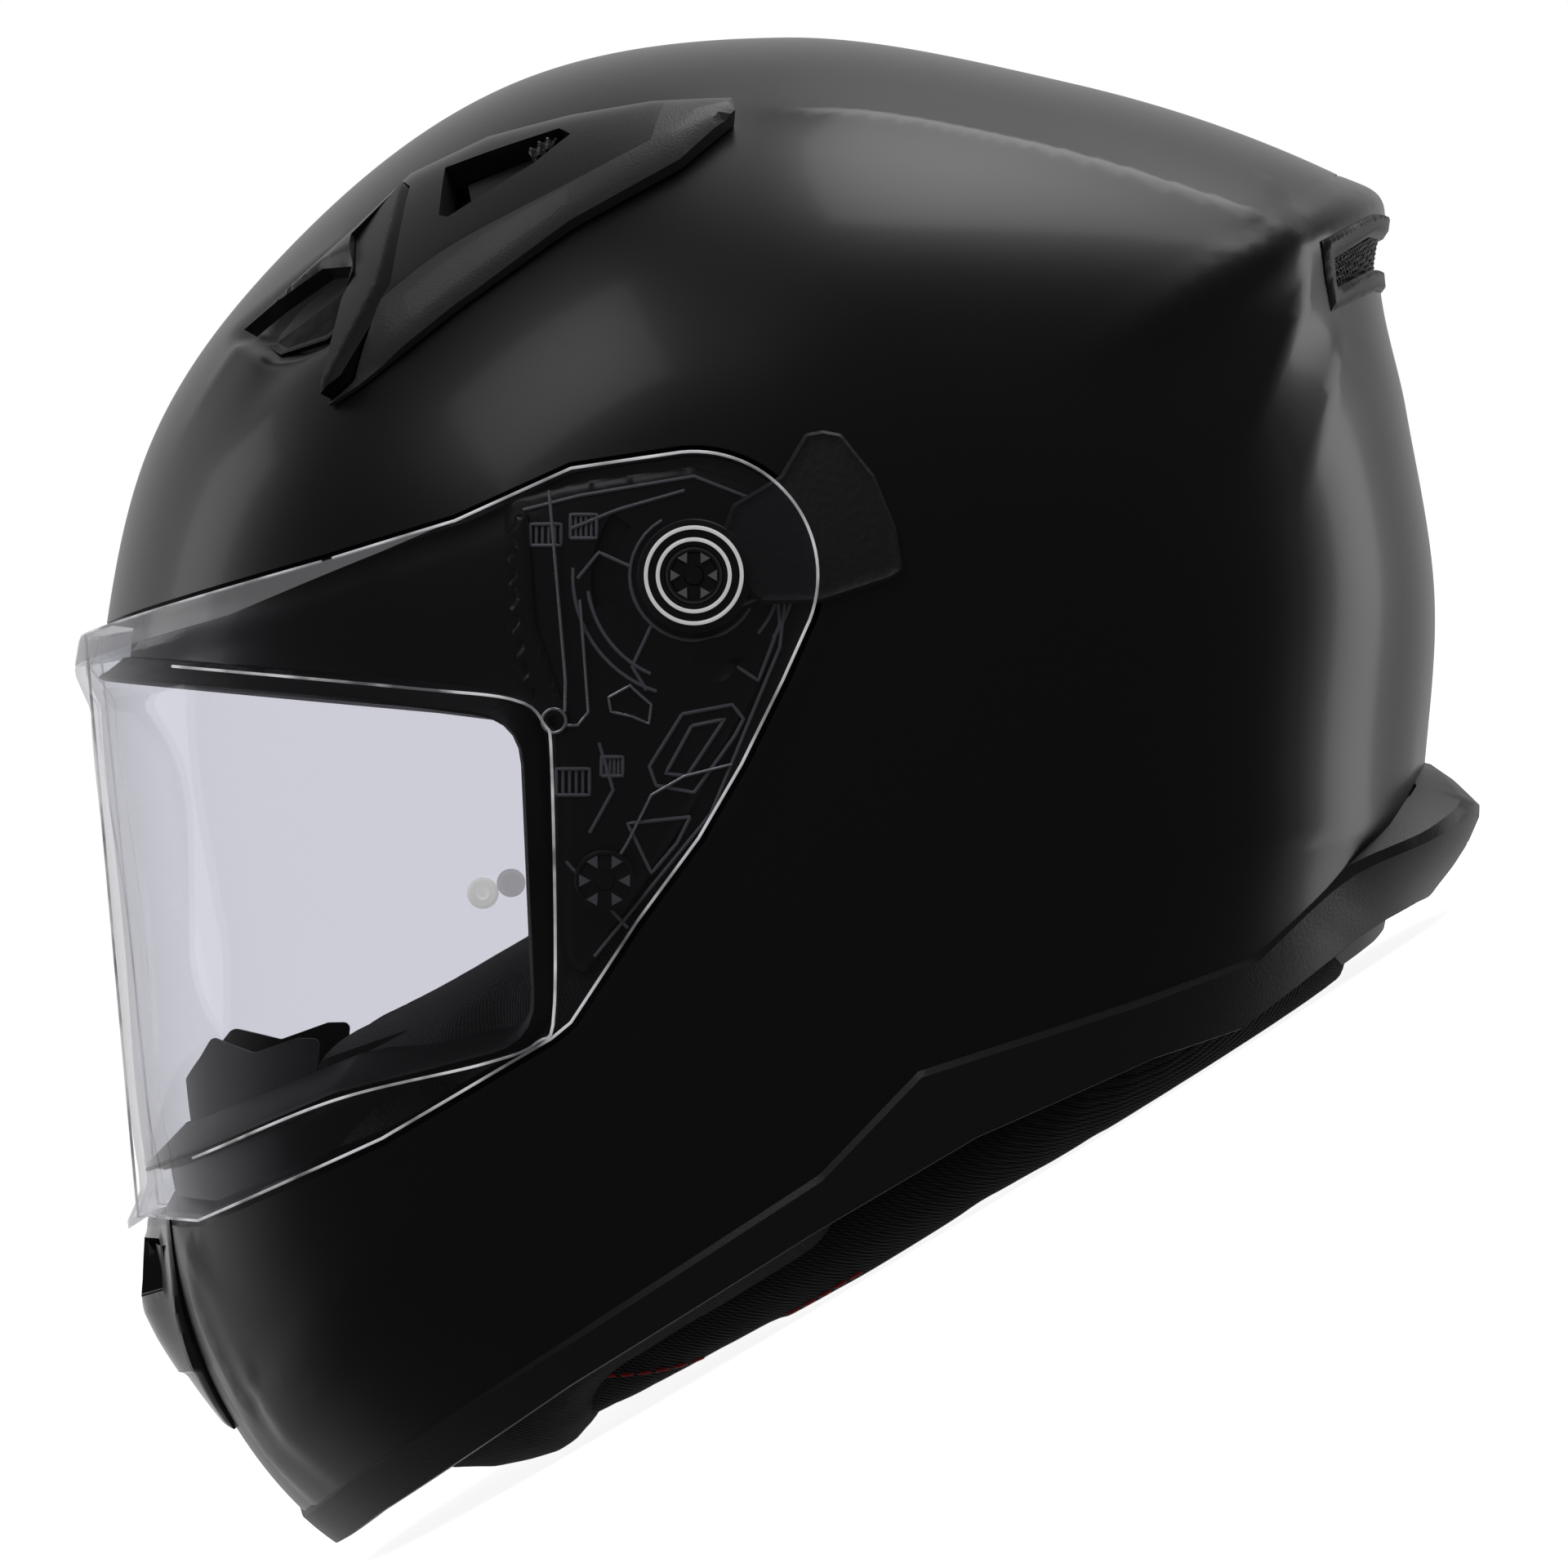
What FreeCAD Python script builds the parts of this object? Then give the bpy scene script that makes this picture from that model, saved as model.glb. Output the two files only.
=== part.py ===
"""Full-face motorcycle helmet, drawn as it is worn and then laid down on its rim.

Worn frame (millimetres): the origin is on the visor's hinge axis in the middle of the
head, +X is the wearer's left, -Y is straight ahead, +Z is up. Every surface belongs to
one family: skin(offset) is the outer face of the shell moved out or in by an offset.
"""
import FreeCAD, Part
import math
import os
from FreeCAD import Placement, Rotation, Vector

# ---------------------------------------------------------------- driving dimensions
HALF_WIDTH = 122.5          # shell, at the hinge axis
REST_TILT = 31.0            # degrees the worn helmet leans back when it stands on its rim
SHELL_WALL = 4.0
RECESS_DEPTH = 6.0          # the visor's bed in the shell
RECESS_FLOOR = 10.0         # back of the shell behind that bed
FOAM_GAP = 0.3
FOAM_INNER = 34.0
LINER_INNER = 42.0
CHIN_FOAM_INNER = 22.0
CHEEK_OUTER = 5.0
CHEEK_INNER = 38.0
CHEEK_GAP = 92.0            # between the pads' front ends, either side of the chin
LENS_INNER = 2.5            # the lens stands this far off the shell
LENS_OUTER = 4.8
LENS_POLE_POWER = 3.2       # flatter ears than the shell's
POLE_POWER = 2.4
HUB_RADIUS = 7.3            # fixed axle of lens, lever and sun shield
RUNNING_FIT = 0.08
LENS_OPEN = 52.0            # degrees
SHIELD_TRAVEL = 36.0        # degrees
SHIELD_RADIUS = 108.0       # of the sun shield, about the hinge axis
SHIELD_HALF_WIDTH = 108.5
SHIELD_THICKNESS = 2.0
FAR = 400.0

# Centre line of the shell, (y, z) round from the nape over the crown to the chin and below.
PROFILE = [(162.4, -4), (156, 39), (150, 70), (150, 86), (141, 90.5), (84, 110.3), (19, 120.8),
           (-40, 111), (-89.6, 75), (-120.4, 32), (-130.3, -8), (-125, -92), (-119.7, -135.5),
           (-106.7, -177), (-84.6, -206), (-19, -225), (84, -193), (150, -96), (157.5, -62),
           (160.3, -38)]
SPOILER = [(150, 70), (150, 86), (141, 90.5)]   # these points fade out towards the sides
# How square the cross-section is, (degrees round the hinge axis from straight back, power).
SQUARENESS = [(0, 2.5), (40, 2.4), (90, 2.25), (150, 2.25), (180, 2.35), (215, 2.6),
              (238, 3.2), (255, 3.0), (285, 2.6), (330, 2.5)]

# Outlines seen from the wearer's left, (y, z).
RIM = [(-79, -211), (-67, -201), (-26, -172), (26, -139), (60, -119), (98, -102.5),
       (117, -96.5), (147, -74.5), (162, -64), (172, -48)]
TRIM_TOP = [(-86, -202), (-75, -192), (-51, -176), (-26, -160), (26, -126), (47, -104),
            (94, -89), (119, -80), (149, -52), (160, -39)]
LIP = [(156, -36), (160, -37), (171, -47), (171.5, -50), (162, -64.5), (150, -62)]
LENS_TOP = [(-160, -18), (-131.4, -10.4), (-78.8, 3.3), (-50.2, 11.6), (-25.8, 22.5)]
LENS_EAR = 26.0
LENS_BACK = [(18.6, -22), (10, -39.5), (1, -55), (-11.9, -72.5), (-25.9, -93.8), (-30, -97.2),
             (-66, -118.5), (-107, -137.5), (-160, -138.5)]
EYEPORT = [(-170, -17), (-60, -27), (-36.4, -30), (-33.7, -96), (-75.2, -106.5),
           (-111, -122), (-170, -147)]
EYEPORT_CORNER = 11.0
BASE_PLATE = [(-40, 17), (-26, 19.5), (0, 23), (18, 17), (23, 2), (17.5, -16), (-2.5, -52),
              (-23, -84), (-28, -80), (-28.5, -45), (-31, -30), (-39, -18)]
VENT_COVER = [(-97, 54), (-72.5, 75.7), (-61, 87.1), (-44.3, 94.7), (-26.8, 98.9),
              (-9.2, 101.7), (7.7, 102.3), (8.4, 99.4), (-3.1, 89.2), (-26.8, 75.7),
              (-51.4, 58.2), (-72.5, 41.5), (-79.1, 37.4), (-74.5, 59), (-73, 66.5),
              (-79.5, 66.4), (-90, 59.5)]
VENT_INSERT = [(-72.5, 73.2), (-62, 84.2), (-60.3, 82.5), (-63.3, 61.1), (-74, 42.4),
               (-78.4, 38.6), (-74.9, 59.7), (-72.1, 65)]
VENT_MOUTH = [(-92, 57.8), (-73.5, 73.5), (-74, 67.5), (-80, 66.5), (-88, 60)]
VENT_WINDOW = [(-52.5, 86.4), (-53.2, 75.4), (-51.3, 75), (-33.7, 86.1), (-26, 92.7),
               (-28.5, 94.3)]
VENT_HOLLOW = [(-62, 62), (-60, 79), (-44, 90), (-22, 95), (-8, 97), (-14, 89), (-30, 78),
               (-50, 64)]
CHEEK = [(33, -38), (-24, -40), (-32, -72), (-62, -90), (-82, -101), (-88, -125),
         (-80, -160), (-66, -181), (-50, -188.5), (-29, -184.5), (-19, -178), (-14, -166), (34, -136)]
NECK_ROLL = [(-28, -162), (38, -119), (96, -90), (128, -76), (150, -62), (158, -70), (140, -85),
             (110, -104), (76, -124), (36, -148), (-10, -172.5), (-23, -178.5), (-31, -177)]
REAR_VENT = [(134.5, 73), (136.5, 58), (148, 64), (175, 70), (175, 84), (147.5, 80.5)]
REAR_MESH = [(137.4, 69.5), (138, 63.4), (147, 68.4), (175, 74), (175, 80.5), (147, 76)]


# ---------------------------------------------------------------- the skin family
def around(knots, angle):
    """Value at an angle of a smooth closed curve through (angle, value) knots."""
    turn = 2 * math.pi
    angle %= turn
    after = [k for k, knot in enumerate(knots) if knot[0] <= angle]
    here = after[-1] if after else len(knots) - 1
    if not after:
        angle += turn

    def knot(number):
        turns, index = divmod(number, len(knots))
        return knots[index][0] + turn * turns, knots[index][1]

    (t0, a), (t1, b), (t2, c), (t3, d) = [knot(here + step) for step in (-1, 0, 1, 2)]
    leave = ((c - b) / (t2 - t1) * (t1 - t0) + (b - a) / (t1 - t0) * (t2 - t1)) / (t2 - t0)
    arrive = ((d - c) / (t3 - t2) * (t2 - t1) + (c - b) / (t2 - t1) * (t3 - t2)) / (t3 - t1)
    span = t2 - t1
    s = (angle - t1) / span
    return ((2 * s**3 - 3 * s**2 + 1) * b + (s**3 - 2 * s**2 + s) * span * leave
            + (3 * s**2 - 2 * s**3) * c + (s**3 - s**2) * span * arrive)


def polar(points):
    return sorted((math.atan2(z, y) % (2 * math.pi), math.hypot(y, z)) for y, z in points)


def smooth_step(value, start, end):
    share = min(1.0, max(0.0, (value - start) / (end - start)))
    return share * share * (3 - 2 * share)


RADII = polar(PROFILE)
SIDE_RADII = polar([point for point in PROFILE if point not in SPOILER])
POWERS = [(math.radians(degrees), power) for degrees, power in SQUARENESS]


def skin_point(turn, tilt, offset, pole_power):
    """Point of the offset shell: turn goes round the hinge axis, tilt from +X to -X."""
    out = math.sin(tilt)
    power = pole_power + (around(POWERS, turn) - pole_power) * smooth_step(out, 0.15, 0.6)
    side_radius = around(SIDE_RADII, turn)
    radius = side_radius + (around(RADII, turn) - side_radius) * smooth_step(out, 0.5, 0.9)
    reach = out * (radius + offset)
    width = (HALF_WIDTH + offset) * math.sqrt(max(0.0, 1 - out**power))
    return Vector(math.copysign(width, math.cos(tilt)), reach * math.cos(turn), reach * math.sin(turn))


def build_skin(offset, pole_power):
    around_count = 72
    across_count = 40
    pole_gap = 0.1
    seam = math.radians(-75)
    rows = []
    for i in range(around_count + 1):
        turn = seam + 2 * math.pi * i / around_count
        tilts = [pole_gap + (math.pi - 2 * pole_gap) * j / across_count for j in range(across_count + 1)]
        rows.append([skin_point(turn, tilt, offset, pole_power) for tilt in tilts])
    surface = Part.BSplineSurface()
    surface.interpolate(rows)
    u0, u1, v0, v1 = surface.bounds()
    middle = (u0 + u1) / 2
    faces = [surface.toShape(u0, middle, v0, v1), surface.toShape(middle, u1, v0, v1)]
    cap_x = abs(rows[0][0].x)
    for side in (1, -1):
        edges = [edge for face in faces[:2] for edge in face.Edges
                 if abs(edge.CenterOfMass.x - side * cap_x) < 0.5]
        faces.append(Part.Face(Part.Wire(Part.__sortEdges__(edges))))
    shell = Part.makeShell(faces)
    shell.sewShape()
    return Part.makeSolid(shell)


SKINS = {}


def skin(offset, pole_power=POLE_POWER):
    """Solid bounded by the offset shell, kept so that each is built once."""
    key = (offset, pole_power)
    if key not in SKINS:
        SKINS[key] = build_skin(offset, pole_power)
    return SKINS[key]


def layer(outer, inner, pole_power=POLE_POWER):
    return skin(outer, pole_power).cut(skin(inner, pole_power))


# ---------------------------------------------------------------- outlines and prisms
def corner_arc(before, corner, after, radius):
    """Start, middle and end of the arc that rounds a corner."""
    u = (before - corner).normalize()
    v = (after - corner).normalize()
    half = u.getAngle(v) / 2
    reach = min(radius / math.tan(half), 0.45 * (before - corner).Length, 0.45 * (after - corner).Length)
    true_radius = reach * math.tan(half)
    inward = (u + v).normalize()
    return (corner + u * reach, corner + inward * (true_radius / math.sin(half) - true_radius),
            corner + v * reach)


def rounded_wire(points, radius):
    """Closed wire through points, each corner rounded."""
    arcs = []
    for index, corner in enumerate(points):
        before = Vector(*points[index - 1])
        after = Vector(*points[(index + 1) % len(points)])
        arcs.append(corner_arc(Vector(*before), Vector(*corner), Vector(*after), radius))
    edges = []
    for index, (start, middle, end) in enumerate(arcs):
        edges.append(Part.Arc(start, middle, end).toShape())
        following = arcs[(index + 1) % len(arcs)][0]
        if (following - end).Length > 0.01:
            edges.append(Part.makeLine(end, following))
    return Part.Wire(edges)


def side_wire(outline, radius=0.0):
    points = [Vector(0, y, z) for y, z in outline]
    if radius:
        return rounded_wire(points, radius)
    return Part.makePolygon(points + points[:1])


def side_prism(outline, x_from, x_to, radius=0.0):
    """Outline (y, z) extended along X."""
    face = Part.Face(side_wire(outline, radius))
    face.translate(Vector(x_from, 0, 0))
    return face.extrude(Vector(x_to - x_from, 0, 0))


def both_sides(outline, radius=0.0):
    return side_prism(outline, -FAR, FAR, radius)


def grown_prism(wire, growth):
    """A side outline grown by an even margin, extended along X to both sides."""
    grown = wire.makeOffset2D(growth) if growth else wire
    face = Part.Face(grown)
    face.translate(Vector(-FAR, 0, 0))
    return face.extrude(Vector(2 * FAR, 0, 0))


def front_prism(outline, y_from, y_to):
    """Outline (x, z) extended along Y."""
    points = [Vector(x, y_from, z) for x, z in outline]
    return Part.Face(Part.makePolygon(points + points[:1])).extrude(Vector(0, y_to - y_from, 0))


def disc(radius, x_from, x_to, y=0.0, z=0.0):
    return Part.makeCylinder(radius, x_to - x_from, Vector(x_from, y, z), Vector(1, 0, 0))


def ring(outer, inner, x_from, x_to, y=0.0, z=0.0):
    return disc(outer, x_from, x_to, y, z).cut(disc(inner, x_from - 1, x_to + 1, y, z))


def ring_sector(outer, inner, x_from, x_to, start, end):
    """Part of a ring about the hinge axis between two angles in degrees."""
    def at(radius, degrees):
        return Vector(x_from, radius * math.cos(math.radians(degrees)), radius * math.sin(math.radians(degrees)))
    middle = (start + end) / 2
    edges = [Part.Arc(at(outer, start), at(outer, middle), at(outer, end)).toShape(),
             Part.makeLine(at(outer, end), at(inner, end)),
             Part.Arc(at(inner, end), at(inner, middle), at(inner, start)).toShape(),
             Part.makeLine(at(inner, start), at(outer, start))]
    return Part.Face(Part.Wire(edges)).extrude(Vector(x_to - x_from, 0, 0))


def tube(points, radius):
    """Round wire through points, with a ball at every bend."""
    pieces = []
    for start, end in zip(points, points[1:]):
        direction = end - start
        pieces.append(Part.makeCylinder(radius, direction.Length, start, direction))
    for point in points[1:-1]:
        pieces.append(Part.makeSphere(radius, point))
    return fuse(pieces)


def fuse(pieces):
    joined = pieces[0]
    for piece in pieces[1:]:
        joined = joined.fuse(piece)
    return joined


def patch(outline, outer, inner, pole_power=POLE_POWER, radius=0.0):
    """Piece of a skin layer on the wearer's left, inside a side outline."""
    prism = side_prism(outline, 1, FAR, radius)
    return skin(outer, pole_power).common(prism).cut(skin(inner, pole_power))


def mirrored(shape):
    return shape.mirror(Vector(0, 0, 0), Vector(1, 0, 0))


def pair(shape):
    """The piece and its mirror image as separate solids of one node."""
    return Part.makeCompound([shape, mirrored(shape)])


def ribbon(path, thickness, y_from, y_to):
    """Webbing that follows a path (x, z), with its width along Y."""
    points = [Vector(x, y_from, z) for x, z in path]
    sides = ([], [])
    for index, point in enumerate(points):
        before = points[max(0, index - 1)]
        after = points[min(len(points) - 1, index + 1)]
        along = (after - before).normalize()
        normal = Vector(-along.z, 0, along.x)
        sides[0].append(point + normal * (thickness / 2))
        sides[1].append(point - normal * (thickness / 2))
    loop = sides[0] + sides[1][::-1]
    return Part.Face(Part.makePolygon(loop + loop[:1])).extrude(Vector(0, y_to - y_from, 0))


# ---------------------------------------------------------------- shared cutters
def lens_wire():
    """Side outline of the lens: straight top, round ear and slanting back edge."""
    top = [Vector(0, y, z) for y, z in LENS_TOP]
    back = [Vector(0, y, z) for y, z in LENS_BACK]

    def ear(degrees):
        return Vector(0, LENS_EAR * math.cos(math.radians(degrees)), LENS_EAR * math.sin(math.radians(degrees)))
    ear_start = 96
    ear_end = -21
    arc = Part.Arc(ear(ear_start), ear((ear_start + ear_end) / 2), ear(ear_end)).toShape()
    before = Part.makePolygon(top + [ear(ear_start)])
    after = Part.makePolygon([ear(ear_end)] + back + [top[0]])
    return Part.Wire(before.Edges + [arc] + after.Edges)


def below(line, drop=0.0):
    """Everything under a line that runs from the chin to the nape, moved down by drop."""
    moved = [(y, z - drop) for y, z in line]
    first = moved[0]
    last = moved[-1]
    return both_sides(moved + [(FAR, last[1]), (FAR, -FAR), (-FAR, -FAR), (-FAR, first[1])])


def shield_shape(radius, half_width):
    """Solid of revolution about the hinge axis, blunt at its ends."""
    steps = 24
    power = 2.3
    curve = []
    for i in range(steps + 1):
        along = radius * math.sin(math.pi / 2 * i / steps)
        curve.append(Vector(half_width * math.sqrt(max(0.0, 1 - (along / radius) ** power)), along, 0))
    spline = Part.BSplineCurve()
    spline.interpolate(curve)
    edges = [spline.toShape(), Part.makeLine(curve[-1], Vector(0, 0, 0)),
             Part.makeLine(Vector(0, 0, 0), curve[0])]
    half = Part.Face(Part.Wire(edges)).revolve(Vector(0, 0, 0), Vector(1, 0, 0), 360)
    return fuse([half, mirrored(half)])


LENS_WIRE = lens_wire()
EYEPORT_WIRE = side_wire(EYEPORT, EYEPORT_CORNER)
GASKET_LIP = 3.0            # width of the rubber between the opening and the shell's edge
GASKET_FLANGE = 4.6
SLOT_START = 142            # arc slot for the drive pins, degrees
SLOT_END = 198
PIN_ORBIT = 19.0
PIN_RADIUS = 2.0
SHIELD_POCKET = [(0, 26), (-70, 116), (-170, 116), (-170, -80), (-20, -54), (8, -20), (20, -8), (20, 10),
                 (12, 22)]
STRAP_Y = -14.0             # the strap hangs a little ahead of the hinge axis
STRAP_PATH = [(0, -157), (34, -157), (50, -152), (64, -143), (80, -129), (98, -110), (108.5, -99), (110.5, -92),
              (110.5, -76)]
STRAP_HALF_WIDTH = 11.0
STRAP_THICKNESS = 2.0
RIVET_RADIUS = 2.5
RIVET_HEAD = 5.5
RIVET_Z = -84.0
SCREW_RADIUS = 2.6          # of the lower screw of each base plate
LOWER_SCREW = (-18.8, -64.0)
CHIN_WINDOWS = [(8, -142), (27, -142), (25, -152), (8, -153)]


def strap_room(clearance):
    """Space that a side's webbing and rivet take up, with a clearance round the webbing."""
    width = STRAP_HALF_WIDTH + clearance
    webbing = ribbon(STRAP_PATH, STRAP_THICKNESS + 2 * clearance, STRAP_Y - width, STRAP_Y + width)
    return fuse([webbing, disc(RIVET_RADIUS, 107, 115.5, STRAP_Y, RIVET_Z),
                 disc(RIVET_HEAD, 105, 109.4, STRAP_Y, RIVET_Z)])


def drive_slot(x_from, x_to):
    return ring_sector(PIN_ORBIT + 2.6, PIN_ORBIT - 2.6, x_from, x_to, SLOT_START, SLOT_END)


def mechanism_holes(x_from):
    """Axle bore and arc slot on the left, from a depth out through the shell."""
    return fuse([disc(HUB_RADIUS + 0.4, x_from, FAR), drive_slot(x_from, FAR)])


def chin_vent_ducts(margin):
    left = [(x + (margin if x > 10 else -margin), z + (margin if z > -145 else -margin)) for x, z in CHIN_WINDOWS]
    duct = front_prism(left, -FAR, -70)
    return [duct, mirrored(duct)]


# ---------------------------------------------------------------- shell and liners
def outer_shell():
    wall = layer(0, -SHELL_WALL)
    bed_back = layer(0, -RECESS_FLOOR).common(grown_prism(LENS_WIRE, 5.5))
    pocket = grown_prism(LENS_WIRE, 1.4).cut(skin(-RECESS_DEPTH))
    cutters = [pocket, grown_prism(EYEPORT_WIRE, GASKET_LIP), below(RIM, -6), both_sides(REAR_VENT)]
    screw_bore = disc(SCREW_RADIUS, 105, FAR, *LOWER_SCREW)
    for side_shape in (mechanism_holes(90), patch(VENT_MOUTH, 1, -8), patch(vent_duct_outline(), 1, -8),
                       screw_bore, strap_room(0.1)):
        cutters += [side_shape, mirrored(side_shape)]
    cutters += chin_vent_ducts(-1.0)
    return wall.fuse(bed_back).cut(cutters)


def vent_duct_outline():
    return [(-50, 83), (-50, 78), (-38, 85), (-38, 88)]


def foam_body(outer, inner):
    """Foam layer that steps back behind the visor's bed."""
    deep = skin(-RECESS_FLOOR - FOAM_GAP)
    behind_bed = grown_prism(LENS_WIRE, 5.8)
    return layer(outer, inner).cut(behind_bed.cut(deep))


def trim_room():
    """Space behind the lower edge that the base trim takes up."""
    return below(TRIM_TOP, -1.5).cut(skin(-9.6))


def eps_liner():
    region = [(-200, -13), (-50, -22), (-34, -26), (-27, -36), (35, -36), (38, -102), (62, -104), (100, -86),
              (125, -70), (148, -46), (200, -36), (200, 200), (-200, 200)]
    foam = foam_body(-SHELL_WALL - FOAM_GAP, -FOAM_INNER).common(both_sides(region))
    clearance = 1.0
    pocket = shield_shape(SHIELD_RADIUS + clearance, SHIELD_HALF_WIDTH + clearance)
    pocket = pocket.cut(shield_shape(SHIELD_RADIUS - SHIELD_THICKNESS - clearance,
                                     SHIELD_HALF_WIDTH - SHIELD_THICKNESS - clearance))
    pocket = pocket.common(both_sides(SHIELD_POCKET))
    ear_room = disc(24, SHIELD_HALF_WIDTH - SHIELD_THICKNESS - clearance, SHIELD_HALF_WIDTH + clearance)
    cutters = [pocket, ear_room, mirrored(ear_room), grown_prism(EYEPORT_WIRE, GASKET_FLANGE), trim_room()]
    air_ducts = [Part.makeCylinder(6, 60, Vector(46, -84, 63), Vector(0, 0.77, -0.64)),
                 Part.makeCylinder(5, 60, Vector(74, -44, 82), Vector(-0.45, 0.35, -0.82))]
    for side_shape in air_ducts + [mechanism_holes(102)]:
        cutters += [side_shape, mirrored(side_shape)]
    return foam.cut(cutters)


def chin_bar_liner():
    region = [(-200, -131), (-113, -131), (-93, -123), (-90, -126), (-86, -160), (-71, -183), (-64, -189),
              (-75, -199), (-200, -199)]
    foam = foam_body(-SHELL_WALL - FOAM_GAP, -CHIN_FOAM_INNER).common(both_sides(region))
    return foam.cut([below(TRIM_TOP, -1), breath_guard()] + chin_vent_ducts(-2.0))


def crown_liner():
    region = [(-200, -6), (-60, -14), (-28, -34), (37, -34), (40, -96), (62, -98), (100, -80), (128, -58),
              (200, -30), (200, 200), (-200, 200)]
    return layer(-FOAM_INNER - FOAM_GAP, -LINER_INNER).common(both_sides(region))


def cheek_pad():
    pad = layer(-CHEEK_OUTER, -CHEEK_INNER).common(side_prism(CHEEK, CHEEK_GAP / 2, FAR, 6))
    behind_bed = grown_prism(LENS_WIRE, 5.8).cut(skin(-RECESS_FLOOR - 0.6))
    roll_room = grown_prism(side_wire(NECK_ROLL, 5), 0.2)
    return pad.cut([behind_bed, strap_room(1), grown_prism(EYEPORT_WIRE, GASKET_FLANGE).cut(skin(-12.6)),
                    trim_room(), roll_room, breath_guard(), chin_air_vent(),
                    Part.makeBox(16, 14, 24, Vector(106, STRAP_Y - 7, -94))])


def neck_roll():
    return layer(-9.6, -30).common(both_sides(NECK_ROLL, 5))


def base_trim():
    band = below(TRIM_TOP).cut(below(RIM))
    channel = layer(1.3, -9).common(band)
    lip = layer(9.0, -2).common(both_sides(LIP, 1.5))
    buried_shell = layer(0, -SHELL_WALL).cut(below(RIM, -6))
    return fuse([channel, lip]).cut(buried_shell)


def rear_neck_cover():
    outline = [(137, -80), (150, -70.5), (158, -64), (160, -66), (156, -71), (148, -78), (140, -83)]
    return layer(-4, -8.5).common(both_sides(outline)).cut(below(TRIM_TOP).cut(below(RIM, 0.2)))


# ---------------------------------------------------------------- visor, its mounts and the sun shield
def eyeport_gasket():
    opening = grown_prism(EYEPORT_WIRE, 0)
    lip = layer(2.0, -12).common(grown_prism(EYEPORT_WIRE, GASKET_LIP))
    flange = layer(-RECESS_DEPTH + 2, -RECESS_DEPTH).common(grown_prism(EYEPORT_WIRE, GASKET_FLANGE))
    inner_flange = layer(-RECESS_FLOOR - FOAM_GAP, -12).common(grown_prism(EYEPORT_WIRE, GASKET_FLANGE - 0.2))
    return fuse([lip, flange, inner_flange]).cut(opening)


def visor_lens():
    wall = layer(LENS_OUTER, LENS_INNER, LENS_POLE_POWER).common(grown_prism(LENS_WIRE, 0))
    beak = front_prism([(-17, -137.6), (17, -137.6), (14, -134.8), (-14, -134.8)], -FAR, -80)
    beak = layer(9.5, LENS_INNER + 0.5, LENS_POLE_POWER).common(beak)
    bore = disc(HUB_RADIUS + RUNNING_FIT, -FAR, FAR)
    pins = disc(2.2, -FAR, FAR, *PINLOCK)
    return fuse([wall, beak]).cut([bore, pins])


PINLOCK = (-44.3, -66.6)


def pinlock_pin():
    head = patch([(PINLOCK[0] + 3.3 * math.cos(a), PINLOCK[1] + 3.3 * math.sin(a))
                  for a in [2 * math.pi * k / 16 for k in range(16)]], LENS_INNER, LENS_INNER - 2.6, LENS_POLE_POWER)
    stem = disc(2.2, 90, FAR, *PINLOCK).common(layer(LENS_OUTER + 1.0, LENS_INNER - 1, LENS_POLE_POWER))
    return fuse([head, stem])


def visor_hub_ring():
    """Collar glued on the lens's ear, turning on the fixed axle."""
    face = HALF_WIDTH + LENS_OUTER
    return ring(10.4, HUB_RADIUS + RUNNING_FIT, face, face + 1.6)


def visor_base_plate():
    plate = patch(BASE_PLATE, -RECESS_DEPTH + 3, -RECESS_DEPTH + 0.2, radius=3)
    lower_boss = disc(5.2, 114, 119.6, *LOWER_SCREW)
    axle = disc(HUB_RADIUS, SHIELD_HALF_WIDTH - 5, HALF_WIDTH + LENS_OUTER + 0.4)
    plate = fuse([plate.cut(drive_slot(90, FAR)), axle, lower_boss])
    screw_bore = disc(3.0, 110, FAR)
    head_room = disc(6.2, HALF_WIDTH + 2.5, FAR)
    return plate.cut([screw_bore, head_room, disc(SCREW_RADIUS, 112, FAR, *LOWER_SCREW)])


def base_plate_screws():
    pivot = fuse([disc(3.0, 110, 126), disc(6.0, HALF_WIDTH + 2.5, HALF_WIDTH + LENS_OUTER + 0.9)])
    slots = [Part.makeBox(3, 1.4, 4.2, Vector(HALF_WIDTH + LENS_OUTER, -0.7, 1.6))]
    for step in range(1, 6):
        turned = slots[0].copy()
        turned.rotate(Vector(0, 0, 0), Vector(1, 0, 0), 60 * step)
        slots.append(turned)
    pivot = pivot.cut(slots)
    y, z = LOWER_SCREW
    lower = fuse([disc(SCREW_RADIUS, 112, 120, y, z), disc(6.5, 119.6, 120.9, y, z)])
    return Part.makeCompound([pivot, mirrored(pivot), lower, mirrored(lower)])


DETENT_HINGE = (-29.4, -30.4)
DETENT_ARM = [(-38.6, 13), (-35.2, 13), (-33.5, -10), (-27.5, -27), (-28, -32), (-31, -32), (-33.8, -27),
              (-38, -12)]


def detent_arm():
    return patch(DETENT_ARM, -0.6, -2.6, radius=1).cut(disc(1.3, 100, FAR, *DETENT_HINGE))


def torsion_spring():
    """Wire coil over the detent arm's eye, with one leg on the arm and one on the plate."""
    y, z = DETENT_HINGE
    coil = ring(3.1, 1.9, 121.9, 123.7, y, z)
    legs = [tube([Vector(122.6, y + 2.3, z + 1.9), Vector(121.8, -27, -22), Vector(119.9, -30.5, 18)], 0.4),
            tube([Vector(122.6, y + 2.3, z - 1), Vector(121.5, -22.2, -28.6), Vector(120.2, -24, -5)], 0.4)]
    return fuse([coil] + legs)


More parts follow.
